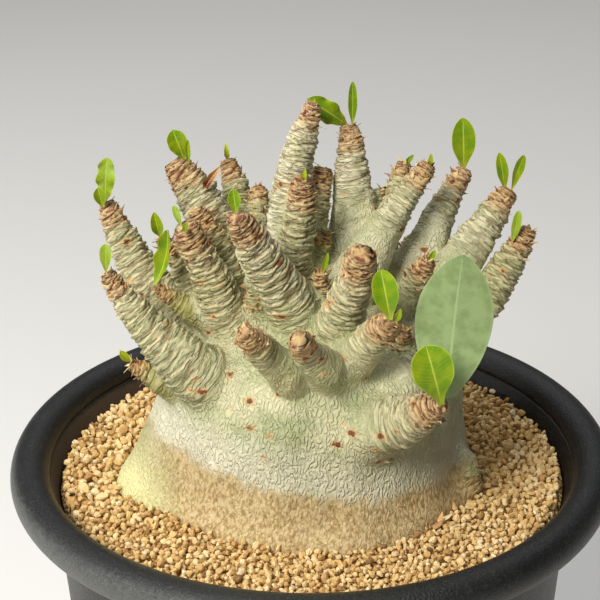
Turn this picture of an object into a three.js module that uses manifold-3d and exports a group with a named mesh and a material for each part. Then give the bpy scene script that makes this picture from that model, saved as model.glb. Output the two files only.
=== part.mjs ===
// A desert rose (Adenium) in a round nursery pot: a fat caudex that carries a
// crown of stubby branches, its young leaves, the grit it is bedded in, and
// the pot with a mesh over its drain hole.
// Millimetres, +Z up. The origin is the middle of the pot's foot, +X runs to
// the right of the plant's front and -Y is the front.
import * as THREE from 'three';
import { mergeVertices } from 'three/addons/utils/BufferGeometryUtils.js';
import Module from 'manifold-3d';

const wasm = await Module();
wasm.setup();

// ---- driving dimensions ----

const GAP = 0.35;               // clearance between pieces that touch

const POT_HEIGHT = 140;
const POT_RADIUS = 90;          // over the rolled rim
const ROLL_RADIUS = 5.8;        // section of the rolled rim
const WALL = 1.8;
const NECK_RADIUS = 77.4;       // outside of the wall just under the rim
const NECK_HEIGHT = 123;
const FOOT_RADIUS = 69;
const FOOT_HEIGHT = 4;          // the floor stands this far off the ground
const FLOOR = 3;                // thickness of the floor
const FOOT_RING_INNER = 62.5;
const FOOT_BEVEL = 1.5;         // outside edge of the foot
const FOOT_DRAFT = 0.6;         // slope of the foot ring's inner side
const FLOOR_CORNER = 1;         // where the floor meets the wall inside
const ROLL_START = -140;        // degrees, where the rolled rim leaves the wall
const ROLL_END = 180;
const ROLL_STEP = 20;
const LIP = { inward: 1.2, below: 1 };  // short lip on the rim's inner side
const DRAIN_RADIUS = 18;
const NOTCH = { width: 11, height: 2.6, length: 20, count: 4 };
const POT_SIDES = 48;

const MESH_RADIUS = 22;
const MESH_THICKNESS = 1.2;
const MESH_HOLE = 7;
const MESH_PITCH = 9;
const MESH_ROWS = 3;            // holes in a row, and rows

const GRIT_HEIGHT = 130;        // top of the grit, above the ground
const GRIT_FLAT = 60;           // it is level out to this radius
const GRIT_EDGE = { inward: 2, drop: 0.4, below: 2 };  // its slack edge at the wall
const GRIT_CORNER = 1.2;        // its lower edge, over the floor's corner

const TRUNK_SIDES = 32;
const BRANCH_SIDES = 8;
const HEART = { inward: 0.45, below: 18, swell: 1.2 };  // a branch's start in the trunk, from its foot
const TIP_NARROW = 0.8;         // a limb's last ring, as a share of its radius there
const TIP_DOME = 0.35;          // height of its rounded end, the same way
const BRANCH_RINGS = 6;
const ROOT_RINGS = 5;
const LEAF_SIDES = 8;
const LEAF_RINGS = 7;

// Caudex profile, [height, radius], from its underside in the grit to its crown.
const TRUNK_PROFILE = [
  [84, 0], [85, 14], [94, 28], [108, 40], [121, 47.5], [130, 49.5], [138, 47], [148, 45.3],
  [160, 44.5], [167.5, 42.8], [174.5, 38.8], [179.5, 32.5], [183, 24], [185.3, 13], [186, 0],
];

// Buttresses where the caudex runs out into its thickest roots:
// direction in degrees, how far it stands out (a hollow is less than nought),
// half angle, height of its middle.
const BUTTRESSES = [
  { turn: 191, out: 8.6, spread: 17, height: 122 },
  { turn: 191, out: 4.6, spread: 20, height: 141 },
  { turn: 187, out: -1.5, spread: 25, height: 163 },
  { turn: 342, out: 4, spread: 9, height: 124 },
  { turn: 294, out: 2.5, spread: 20, height: 124 },
  { turn: 45, out: 4, spread: 16, height: 122 },
  { turn: 100, out: 5, spread: 18, height: 122 },
  { turn: 145, out: 3, spread: 14, height: 120 },
];
const BUTTRESS_RISE = 16;       // how far above and below its middle one fades out

// Roots under the grit: direction in degrees and reach from the axis.
const ROOTS = [
  { turn: 188, reach: 58, depth: 66 },
  { turn: 262, reach: 50, depth: 52 },
  { turn: 338, reach: 55, depth: 62 },
  { turn: 45, reach: 54, depth: 56 },
  { turn: 110, reach: 56, depth: 64 },
];
const ROOT_RADII = [11, 8.5, 5.5, 2.5];
const ROOT_START = [[14, 108], [32, 100]];  // radius and height of its first points, in the trunk
const ROOT_BEND = { before: 9, height: 84 };  // its last bend, this far short of its end

// Branches: tip, middle and foot points, and the radius at each of them.
const BRANCHES = [
  // left side
  { tip: [-58, 8, 211], mid: [-53, 5, 201], foot: [-42, 0, 185], radii: [2.5, 4.5, 6] },
  { tip: [-55, -22, 202], mid: [-48, -24, 192], foot: [-31, -26, 174], radii: [2.2, 4.5, 8.5] },
  { tip: [-50, -20, 174], mid: [-46, -20, 172], foot: [-40, -20, 168], radii: [1.6, 3, 4] },
  { tip: [-38, 15, 220], mid: [-31, 12, 210], foot: [-20, 4, 191], radii: [3.8, 6, 7] },
  { tip: [-24, 32, 215], mid: [-22, 28, 209], foot: [-20, 20, 197], radii: [2.4, 3.4, 4.5] },
  { tip: [-15, 22, 210], mid: [-15, 18, 205], foot: [-16, 14, 198], radii: [2.4, 3.2, 4.5] },
  { tip: [-33, -18, 213], mid: [-29, -16, 202], foot: [-22, -14, 183], radii: [3.5, 4.6, 6.5] },
  { tip: [-31, -3, 212], mid: [-26, -4, 202], foot: [-20, -6, 189], radii: [3, 4.2, 5.5] },
  { tip: [-41, -4, 205], mid: [-36, -4, 197], foot: [-30, -4, 188], radii: [2.4, 3.5, 4.5] },
  { tip: [-42, -15, 195], mid: [-37, -15, 191], foot: [-30, -14, 186], radii: [2, 3, 3.8] },
  // middle
  { tip: [1, 8, 240], mid: [-3, 6, 228], foot: [-7, 3, 207], radii: [2.2, 4.2, 6] },
  { tip: [-19, -28, 220], mid: [-12, -22, 205], foot: [-4, -16, 186], radii: [3.2, 5.6, 7.5] },
  { tip: [-2, -9, 223], mid: [-3, -8, 212], foot: [-5, -6, 198], radii: [3, 4, 5] },
  { tip: [3.6, 11.5, 219.5], mid: [2, 9, 211], foot: [1, 5, 199], radii: [2.5, 3.2, 4] },
  { tip: [12, 18, 230], mid: [12.5, 15, 216], foot: [13, 10, 195], radii: [2.7, 5.1, 8.5] },
  { tip: [13, -38, 213], mid: [11, -31, 201], foot: [7, -24, 186], radii: [3.8, 5, 6.5] },
  { tip: [20, -45, 198], mid: [16, -39, 190], foot: [10, -32, 179], radii: [3, 4.6, 6] },
  { tip: [-17, -52, 198], mid: [-13, -45, 190], foot: [-6, -37, 179], radii: [2.6, 4.2, 5.5] },
  { tip: [-3, -52, 196], mid: [-1, -46, 190], foot: [4, -38, 180], radii: [2.6, 3.8, 5] },
  { tip: [-16, -20, 199], mid: [-15, -18, 194], foot: [-14, -16, 187], radii: [1.8, 2.4, 3] },
  { tip: [4, 2, 204], mid: [3, 1, 202], foot: [1, 0, 198], radii: [1.8, 2.4, 3] },
  { tip: [3, -16, 199], mid: [3, -15, 195], foot: [3, -14, 189], radii: [1.8, 2.4, 3] },
  // right side
  { tip: [33, 5, 223], mid: [23, 1, 209], foot: [12, -4, 192], radii: [2.6, 4.6, 7.5] },
  { tip: [27, 14, 220], mid: [25.5, 11, 215], foot: [23, 7, 208], radii: [2.4, 3, 3.6] },
  { tip: [20.8, 17.5, 211], mid: [19.8, 17, 208.5], foot: [16, 14, 203.5], radii: [1.8, 2.4, 3.2] },
  { tip: [45, 22, 215], mid: [38, 16, 205], foot: [30, 8, 192], radii: [2.6, 4.6, 6] },
  { tip: [57, 12, 212], mid: [48, 6, 201], foot: [33, -2, 183], radii: [2.6, 5, 7] },
  { tip: [62, 2, 204], mid: [55, 0, 192], foot: [43, -5, 177], radii: [2.6, 4.4, 5.2] },
  { tip: [32, -15, 202], mid: [29, -14, 196], foot: [24, -12, 187], radii: [2.2, 3.2, 4] },
  { tip: [33, -50, 176], mid: [26, -44, 169], foot: [13, -35, 160], radii: [2.9, 6.4, 9.5] },
  { tip: [37, -25, 179], mid: [31, -27, 176], foot: [20, -31, 168], radii: [4.2, 5.6, 6.5] },
  { tip: [26, -22, 184], mid: [25, -22, 180], foot: [24, -22, 176], radii: [2, 2.5, 3] },
  { tip: [46, -19.5, 134.5], mid: [44.5, -18.5, 136.5], foot: [42, -17, 139], radii: [2.2, 3.4, 4] },
  { tip: [20, 27, 203], mid: [18, 24, 196], foot: [14, 18, 186], radii: [2.4, 3.6, 5] },
  // back
  { tip: [-55, 24, 188], mid: [-47, 20, 180], foot: [-36, 15, 168], radii: [2.5, 4.5, 6] },
  { tip: [-28, 46, 194], mid: [-23, 38, 185], foot: [-16, 28, 171], radii: [3, 5, 6.5] },
  { tip: [-8, 54, 186], mid: [-7, 46, 180], foot: [-5, 35, 168], radii: [3, 5, 7] },
  { tip: [-4, 38, 206], mid: [-4, 32, 197], foot: [-4, 22, 182], radii: [2.6, 4.6, 6.5] },
  { tip: [16, 46, 200], mid: [14, 38, 190], foot: [10, 27, 175], radii: [2.6, 4.6, 6.5] },
  { tip: [33, 46, 184], mid: [28, 38, 177], foot: [20, 28, 165], radii: [2.6, 4.6, 6.5] },
  { tip: [50, 34, 186], mid: [42, 28, 178], foot: [31, 20, 166], radii: [2.6, 4.6, 6] },
  { tip: [58, 20, 184], mid: [50, 17, 177], foot: [38, 13, 166], radii: [2.6, 4.6, 6] },
  { tip: [-42, 46, 172], mid: [-35, 38, 166], foot: [-27, 29, 158], radii: [3, 4.5, 5.5] },
  { tip: [24, 54, 170], mid: [20, 46, 165], foot: [15, 35, 157], radii: [3, 5, 6] },
];

// Leaves: foot and tip points, width, the direction the face looks in, and how
// far the blade arches back (a share of its length).
const FRONT = [0, -0.9, 0.4];
const LEAVES = {
  leaf_left_upper: { foot: [-58.8, 8, 212.6], tip: [-57.4, 8, 226], width: 5.4, arch: 0.05 },
  leaf_left_upper_young: { foot: [-59.2, 4.6, 212.6], tip: [-59.4, 3, 218.5], width: 3.1, arch: 0.05 },
  leaf_left_lower: { foot: [-55.6, -23.2, 204.2], tip: [-54.8, -24, 212.2], width: 3, arch: 0.08 },
  leaf_left_foot: { foot: [-50.6, -21.4, 176.4], tip: [-53, -24, 181], width: 2.8, arch: 0.1 },
  leaf_left_folded: { foot: [-43.2, -16, 197.4], tip: [-39, -18, 214], width: 4.1, arch: -0.1 },
  leaf_left_inner: { foot: [-42.2, -4.6, 207.2], tip: [-43.5, -6, 214.6], width: 3.4, arch: 0.1 },
  leaf_left_pale: { foot: [-35, -19.4, 216], tip: [-36.8, -19, 221.4], width: 1.9, arch: 0.05 },
  leaf_left_pale_nub: { foot: [-34, -22, 215.2], tip: [-33.2, -24, 218.4], width: 1.6, arch: 0.05 },
  leaf_upper_left_broad: { foot: [-35.8, 12, 224.4], tip: [-38.5, 10, 233.4], width: 5.7, arch: 0.08 },
  leaf_upper_left_bract: { foot: [-29.2, 9.4, 215.8], tip: [-25.4, 10, 222.4], width: 3.2, arch: 0.15 },
  leaf_upper_left_narrow: { foot: [-34.4, 9, 224], tip: [-34.3, 8, 231.2], width: 1.5, arch: 0.05 },
  leaf_back_spike: { foot: [-24.3, 32, 217.6], tip: [-24.6, 30.6, 222.6], width: 1.6, arch: 0.2 },
  leaf_centre_left: { foot: [-19.6, -29.6, 223.4], tip: [-20.2, -30, 230], width: 3.4, arch: 0.08 },
  leaf_centre_hook: { foot: [-1.7, -9.4, 225.4], tip: [-1.2, -11, 228.8], width: 1.5, arch: 0.2 },
  leaf_top_wide: { foot: [10.9, 18.8, 232], tip: [-0.2, 15, 240.6], width: 6.4, arch: 0.12 },
  leaf_top_upright: { foot: [12.6, 18, 232.2], tip: [12.6, 17, 245], width: 2.6, arch: 0.03 },
  leaf_back_dark: { foot: [20.6, 27.4, 205.2], tip: [24.5, 26, 209.8], width: 3.9, arch: 0.1 },
  leaf_right_inner_tiny: { foot: [28, 14.2, 221.8], tip: [30, 12.6, 224.4], width: 1.5, arch: 0.15 },
  leaf_right_hook: { foot: [34, 4.8, 224.8], tip: [34.2, 3, 228], width: 1.5, arch: 0.25 },
  leaf_right_oval: { foot: [45.6, 22.6, 216.8], tip: [44.8, 22, 232.4], width: 7, arch: 0.05 },
  leaf_right_pair_a: { foot: [56.6, 11.6, 214.2], tip: [54.2, 10, 225.7], width: 3.4, arch: 0.06 },
  leaf_right_pair_b: { foot: [58.6, 12.4, 213.6], tip: [61.5, 11, 224.6], width: 2.9, arch: -0.1 },
  leaf_far_right_pale: { foot: [57.6, -1, 203], tip: [59.1, -1, 212.1], width: 2.6, arch: 0.05 },
  leaf_front_oval: { foot: [20.4, -47.2, 200], tip: [17.8, -46, 213.4], width: 6.7, arch: 0.08 },
  leaf_front_oval_young: { foot: [21.8, -47.6, 199.8], tip: [22.9, -49, 203.7], width: 1.6, arch: 0.1 },
  leaf_right_low_tiny: { foot: [32.8, -15.6, 203.4], tip: [34.3, -16, 206.4], width: 1.7, arch: 0.1 },
  leaf_front_spatulate: { foot: [34, -52.2, 178.2], tip: [29.2, -54, 195.5], width: 11.1, arch: 0.1 },
  leaf_front_big: { foot: [35.9, -49, 178.8], tip: [39.2, -42, 215.7], width: 20.6, arch: -0.08 },
  leaf_centre_tiny: { foot: [3.4, -16.6, 200.6], tip: [4.8, -17, 206.4], width: 1.5, arch: 0.1 },
  leaf_rear_oval: { foot: [-8, 55.6, 187], tip: [-8.5, 57, 199], width: 6, arch: 0.1, face: [0, 0.9, 0.4] },
  leaf_rear_right: { foot: [24.8, 56, 171], tip: [27, 60, 182], width: 5.5, arch: 0.1, face: [0.3, 0.85, 0.4] },
};
const LEAF_THICKNESS = 1.1;     // at the thickest place, over the midrib
const STALK = 0.25;             // width at the leaf's foot, as a share of its full width
const BLADE_START = 0.02;       // the blade widens between these shares of its length
const BLADE_WIDEST = 0.5;
const BLADE_FLATNESS = 0.4;     // greatest thickness, as a share of the width

// ---- materials ----

const BLACK_PLASTIC = 0x232423;
const DARK_MESH = 0x2b2c2a;
const BAKED_CLAY = 0xd7af78;
const BARK = 0xbebea0;
const LEAF_GREEN = 0x86a82a;
const LEAF_COLOURS = { leaf_front_big: 0xa5c38c, leaf_upper_left_bract: 0x8c5a3c };

function surface(colour, roughness) {
  return new THREE.MeshStandardMaterial({ color: colour, roughness, metalness: 0 });
}

// ---- solids: joining and cutting ----

function toSolid(geometry) {
  const bare = geometry.clone();
  bare.deleteAttribute('normal');
  bare.deleteAttribute('uv');
  const merged = mergeVertices(bare, 1e-4);
  const triangles = [];
  const index = merged.index.array;
  for (let i = 0; i < index.length; i += 3) {
    const [a, b, c] = [index[i], index[i + 1], index[i + 2]];
    if (a !== b && b !== c && c !== a) triangles.push(a, b, c);
  }
  return new wasm.Manifold(new wasm.Mesh({
    numProp: 3,
    vertProperties: new Float32Array(merged.attributes.position.array),
    triVerts: new Uint32Array(triangles),
  }));
}

function toGeometry(solid) {
  const mesh = solid.getMesh();
  const geometry = new THREE.BufferGeometry();
  geometry.setAttribute('position', new THREE.BufferAttribute(mesh.vertProperties, 3));
  geometry.setIndex(new THREE.BufferAttribute(mesh.triVerts, 1));
  return geometry;
}

// A profile of [radius, height] points turned about Z.
function turned(profile, sides) {
  const points = profile.map(([radius, height]) => new THREE.Vector2(radius, height));
  return new THREE.LatheGeometry(points, sides).rotateX(Math.PI / 2);
}

// Moves every vertex of a geometry with a function that changes a Vector3.
function reshape(geometry, change) {
  const position = geometry.attributes.position;
  const point = new THREE.Vector3();
  for (let i = 0; i < position.count; i += 1) {
    point.fromBufferAttribute(position, i);
    change(point);
    position.setXYZ(i, point.x, point.y, point.z);
  }
  return geometry;
}

// ---- pot ----

// Outside radius of the tapered wall at a height.
function wallRadius(height) {
  return FOOT_RADIUS + (NECK_RADIUS - FOOT_RADIUS) * height / NECK_HEIGHT;
}

function pot() {
  const floorTop = FOOT_HEIGHT + FLOOR;
  const rollHeight = POT_HEIGHT - ROLL_RADIUS;
  const rollMiddle = POT_RADIUS - ROLL_RADIUS;
  const roll = [];
  for (let turn = ROLL_START; turn <= ROLL_END; turn += ROLL_STEP) {
    const angle = THREE.MathUtils.degToRad(turn);
    roll.push([rollMiddle + ROLL_RADIUS * Math.cos(angle), rollHeight + ROLL_RADIUS * Math.sin(angle)]);
  }
  const lipRadius = rollMiddle - ROLL_RADIUS - LIP.inward;
  const innerFloor = wallRadius(floorTop) - WALL;
  const profile = [
    [DRAIN_RADIUS, FOOT_HEIGHT],
    [FOOT_RING_INNER, FOOT_HEIGHT],
    [FOOT_RING_INNER + FOOT_DRAFT, 0],
    [FOOT_RADIUS - FOOT_BEVEL, 0],
    [FOOT_RADIUS, FOOT_BEVEL],
    [NECK_RADIUS, NECK_HEIGHT],
    ...roll,
    [lipRadius, rollHeight - LIP.below],
    [wallRadius(GRIT_HEIGHT) - WALL, GRIT_HEIGHT - LIP.below],
    [innerFloor, floorTop + FLOOR_CORNER],
    [innerFloor - FLOOR_CORNER, floorTop],
    [DRAIN_RADIUS, floorTop],
    [DRAIN_RADIUS, FOOT_HEIGHT],
  ];
  let body = toSolid(turned(profile, POT_SIDES));
  for (let i = 0; i < NOTCH.count; i += 1) {
    const notch = new THREE.BoxGeometry(NOTCH.length, NOTCH.width, NOTCH.height * 2);
    notch.translate(FOOT_RADIUS, 0, 0).rotateZ((i + 0.5) * 2 * Math.PI / NOTCH.count);
    body = body.subtract(toSolid(notch));
  }
  return toGeometry(body);
}

// A disc with a grid of square holes, laid over the drain hole.
function drainMesh() {
  const disc = new THREE.CylinderGeometry(MESH_RADIUS, MESH_RADIUS, MESH_THICKNESS, POT_SIDES / 2);
  let solid = toSolid(disc.rotateX(Math.PI / 2));
  const middle = (MESH_ROWS - 1) / 2;
  for (let column = 0; column < MESH_ROWS; column += 1) {
    for (let row = 0; row < MESH_ROWS; row += 1) {
      const hole = new THREE.BoxGeometry(MESH_HOLE, MESH_HOLE, 2 * MESH_THICKNESS);
      hole.translate((column - middle) * MESH_PITCH, (row - middle) * MESH_PITCH, 0);
      solid = solid.subtract(toSolid(hole));
    }
  }
  return toGeometry(solid);
}

// ---- caudex ----

// How far the buttresses push the caudex out at a direction and height.
function buttress(angle, height) {
  let out = 0;
  for (const { turn, out: reach, spread, height: middle } of BUTTRESSES) {
    const away = THREE.MathUtils.euclideanModulo(
      THREE.MathUtils.radToDeg(angle) - turn + 180, 360) - 180;
    const rise = (height - middle) / BUTTRESS_RISE;
    out += reach * Math.exp(-((away / spread) ** 2) - rise * rise);
  }
  return out;
}

function trunk(grow) {
  const profile = TRUNK_PROFILE.map(([height, radius], i) => {
    if (i === 0) return [0, height - grow];
    return [radius === 0 ? 0 : radius + grow, height];
  });
  return reshape(turned(profile, TRUNK_SIDES), (point) => {
    const radius = Math.hypot(point.x, point.y);
    if (radius < 1e-6) return;
    const scale = 1 + buttress(Math.atan2(point.y, point.x), point.z) / radius;
    point.x *= scale;
    point.y *= scale;
  });
}

// A round limb that follows a smooth curve through its points, with a radius
// at each point and a low rounded end: a turned straight limb, then bent.
function limb(points, radii, steps, grow = 0) {
  const curve = new THREE.CatmullRomCurve3(points.map((p) => new THREE.Vector3(...p)));
  const last = radii.length - 1;
  const radiusAt = (t) => {
    const i = Math.min(Math.floor(t * last), last - 1);
    return THREE.MathUtils.lerp(radii[i], radii[i + 1], t * last - i) + grow;
  };
  const profile = [new THREE.Vector2(0, 0)];
  for (let i = 0; i <= steps; i += 1) {
    const t = i / steps;
    profile.push(new THREE.Vector2(radiusAt(t) * (i === steps ? TIP_NARROW : 1), t));
  }
  const cap = radii[last] * TIP_DOME + grow;
  profile.push(new THREE.Vector2(0, 2));
  const geometry = new THREE.LatheGeometry(profile, BRANCH_SIDES);
  return reshape(geometry, (point) => {
    const t = Math.min(point.y, 1);
    const along = curve.getTangent(t);
    const across = new THREE.Vector3(0, 1, 0).cross(along).normalize();
    const other = across.clone().cross(along);
    const centre = curve.getPoint(t);
    if (point.y > 1) centre.addScaledVector(along, cap);
    const [x, z] = [point.x, point.z];
    point.copy(centre).addScaledVector(across, x).addScaledVector(other, z);
  });
}

// The branch's own points, led on from its foot down and inwards into the trunk.
function branchLimb({ tip, mid, foot, radii }) {
  const heart = [foot[0] * HEART.inward, foot[1] * HEART.inward, foot[2] - HEART.below];
  const widths = [radii[2] * HEART.swell, radii[2], radii[1], radii[0]];
  return limb([heart, foot, mid, tip], widths, BRANCH_RINGS);
}

function rootLimb({ turn, reach, depth }, grow) {
  const angle = THREE.MathUtils.degToRad(turn);
  const at = (radius, height) => [radius * Math.cos(angle), radius * Math.sin(angle), height];
  const start = ROOT_START.map(([radius, height]) => at(radius, height));
  const points = [...start, at(reach - ROOT_BEND.before, ROOT_BEND.height), at(reach, depth)];
  return limb(points, ROOT_RADII, ROOT_RINGS, grow);
}

// Everything below the grit, with a margin: what the grit leaves room for.
function buriedSolid(grow) {
  let solid = toSolid(trunk(grow));
  for (const root of ROOTS) solid = solid.add(toSolid(rootLimb(root, grow)));
  return solid;
}

function caudex() {
  let solid = buriedSolid(0);
  for (const branch of BRANCHES) solid = solid.add(toSolid(branchLimb(branch)));
  return toGeometry(solid);
}

// ---- grit ----

function gritBed() {
  const floorTop = FOOT_HEIGHT + FLOOR + GAP;
  const overMesh = floorTop + MESH_THICKNESS + GAP;
  const innerWall = (height) => wallRadius(height) - WALL - GAP;
  const profile = [
    [0, overMesh],
    [MESH_RADIUS + GAP, overMesh],
    [MESH_RADIUS + GAP, floorTop],
    [innerWall(floorTop) - GRIT_CORNER, floorTop],
    [innerWall(floorTop + GRIT_CORNER), floorTop + GRIT_CORNER],
    [innerWall(GRIT_HEIGHT - GRIT_EDGE.below), GRIT_HEIGHT - GRIT_EDGE.below],
    [innerWall(GRIT_HEIGHT) - GRIT_EDGE.inward, GRIT_HEIGHT - GRIT_EDGE.drop],
    [GRIT_FLAT, GRIT_HEIGHT],
    [0, GRIT_HEIGHT],
  ];
  return toGeometry(toSolid(turned(profile, POT_SIDES)).subtract(buriedSolid(GAP)));
}

// ---- leaves ----

// Half width of a blade along its length, from a narrow stalk to a round tip.
function bladeHalf(t) {
  return STALK + (1 - STALK) * THREE.MathUtils.smoothstep(t, BLADE_START, BLADE_WIDEST);
}

// A flattened, arched ball whose poles are the leaf's foot and tip.
function leaf({ foot, tip, width, arch, face = FRONT }) {
  const start = new THREE.Vector3(...foot);
  const along = new THREE.Vector3(...tip).sub(start);
  const length = along.length();
  along.normalize();
  const across = along.clone().cross(new THREE.Vector3(...face)).normalize();
  const outward = across.clone().cross(along);
  const ball = new THREE.SphereGeometry(1, LEAF_SIDES, LEAF_RINGS);
  return reshape(ball, (point) => {
    const t = (point.y + 1) / 2;
    const half = width / 2 * bladeHalf(t);
    const thick = Math.min(LEAF_THICKNESS, width * BLADE_FLATNESS) / 2;
    const lift = arch * length * 4 * t * (1 - t) + thick * point.z;
    const side = half * point.x;
    point.copy(start).addScaledVector(along, t * length);
    point.addScaledVector(across, side).addScaledVector(outward, lift);
  });
}

// ---- the whole plant ----

const group = new THREE.Group();

function place(name, geometry, material, height = 0) {
  const mesh = new THREE.Mesh(geometry, material);
  mesh.name = name;
  mesh.position.z = height;
  group.add(mesh);
}

place('pot', pot(), surface(BLACK_PLASTIC, 0.5));
place('drain_mesh', drainMesh(), surface(DARK_MESH, 0.6), FOOT_HEIGHT + FLOOR + GAP + MESH_THICKNESS / 2);
place('grit_bed', gritBed(), surface(BAKED_CLAY, 0.95));
place('caudex', caudex(), surface(BARK, 0.8));
for (const [name, shape] of Object.entries(LEAVES)) {
  place(name, leaf(shape), surface(LEAF_COLOURS[name] ?? LEAF_GREEN, 0.55));
}

export default group;
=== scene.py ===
"""Desert rose in a nursery pot: the looks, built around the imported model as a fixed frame.

Lengths in the tables are millimetres, in the frame's own axes: +Z up, -Y the plant's front, the
origin in the middle of the pot's foot. Meshes are put into Blender in metres.
"""

import math

import bpy
import mathutils
import numpy as np
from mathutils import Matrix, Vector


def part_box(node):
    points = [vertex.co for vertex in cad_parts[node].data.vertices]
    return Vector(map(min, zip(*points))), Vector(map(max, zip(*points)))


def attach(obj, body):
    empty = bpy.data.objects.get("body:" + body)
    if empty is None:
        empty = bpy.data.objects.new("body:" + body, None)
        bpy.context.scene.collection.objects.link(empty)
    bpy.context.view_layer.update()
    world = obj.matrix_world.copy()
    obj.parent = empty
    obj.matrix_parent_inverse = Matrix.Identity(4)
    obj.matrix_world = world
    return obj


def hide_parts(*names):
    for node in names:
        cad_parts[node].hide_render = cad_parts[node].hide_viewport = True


bl_info = {
    "name": "Potted Desert Rose",
    "version": (1, 0, 0),
    "blender": (4, 5, 0),
    "location": "View3D > Sidebar > Desert Rose",
    "description": "Builds a desert rose with its grit and nursery pot around a packed model",
    "category": "Add Mesh",
}

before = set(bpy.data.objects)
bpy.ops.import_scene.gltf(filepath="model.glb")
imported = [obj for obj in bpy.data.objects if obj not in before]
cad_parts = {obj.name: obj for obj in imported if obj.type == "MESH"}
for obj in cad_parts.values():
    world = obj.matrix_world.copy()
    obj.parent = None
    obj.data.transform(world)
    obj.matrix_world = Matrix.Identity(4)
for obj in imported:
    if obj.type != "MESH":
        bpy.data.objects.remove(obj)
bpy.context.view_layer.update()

MM = 0.001
POT_LOW, POT_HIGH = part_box("pot")
POT_RADIUS = POT_HIGH.x / MM
POT_HEIGHT = POT_HIGH.z / MM
GRIT_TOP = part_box("grit_bed")[1].z / MM

# The rolled rim's section, in degrees from its outermost point, its points, and the greatest
# distance between points down the wall.
ROLL_TURNS = (-140, 176)
ROLL_POINTS = 44
WALL_ROW = 4
# Quads along each edge of the cube that a grain is made from.
GRAIN_CUTS = 2
# The floor: the radii of its rings, points round each, and how far it lies under the pot.
FLOOR_RINGS = (2500, 1200, 500, 150, 20)
FLOOR_COLUMNS = 96
FLOOR_DROP = 0.05

# ---------------------------------------------------------------- the plant's own shape

# Caudex profile, (height, radius), from its underside in the grit to its crown.
TRUNK_PROFILE = [
    (84, 0), (85, 14), (94, 28), (108, 40), (121, 47.5), (130, 49.5), (138, 47), (148, 45.3),
    (160, 44.5), (167.5, 42.8), (174.5, 38.8), (179.5, 32.5), (183, 24), (185.3, 13), (186, 0),
]
# Buttresses: direction in degrees, how far out (a hollow is less than nought), half angle and
# height of the middle.
BUTTRESSES = [
    (191, 8.6, 17, 122), (191, 4.6, 20, 141), (187, -1.5, 25, 163),
    (342, 4, 9, 124), (294, 2.5, 20, 124),
    (45, 4, 16, 122), (100, 5, 18, 122), (145, 3, 14, 120),
]
BUTTRESS_RISE = 16
# Roots under the grit: direction in degrees, reach from the axis, height of the end. Each starts
# and bends at the same (reach, height).
ROOTS = [(188, 58, 66), (262, 50, 52), (338, 55, 62), (45, 54, 56), (110, 56, 64)]
ROOT_RADII = (11, 8.5, 5.5, 2.5)
ROOT_START, ROOT_MIDDLE = (24, 112), (40, 96)
# A branch starts inside the caudex: at this share of its foot's place and this far below it.
HEART_INWARD = 0.45
HEART_BELOW = 18
# The turn from one leaf to the next, by which leaf scars and dried scales follow each other.
GOLDEN_TURN = math.radians(137.508)
# Points along a limb's fine line, how far a skin may be pushed to meet another, and the marks
# that the bark's finish reads.
LIMB_SAMPLES = 240
SKIN_REACH = 3.5
BARK_MARKS = ("lip", "crease", "tip", "olive", "chalk", "scarred", "run")

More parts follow.
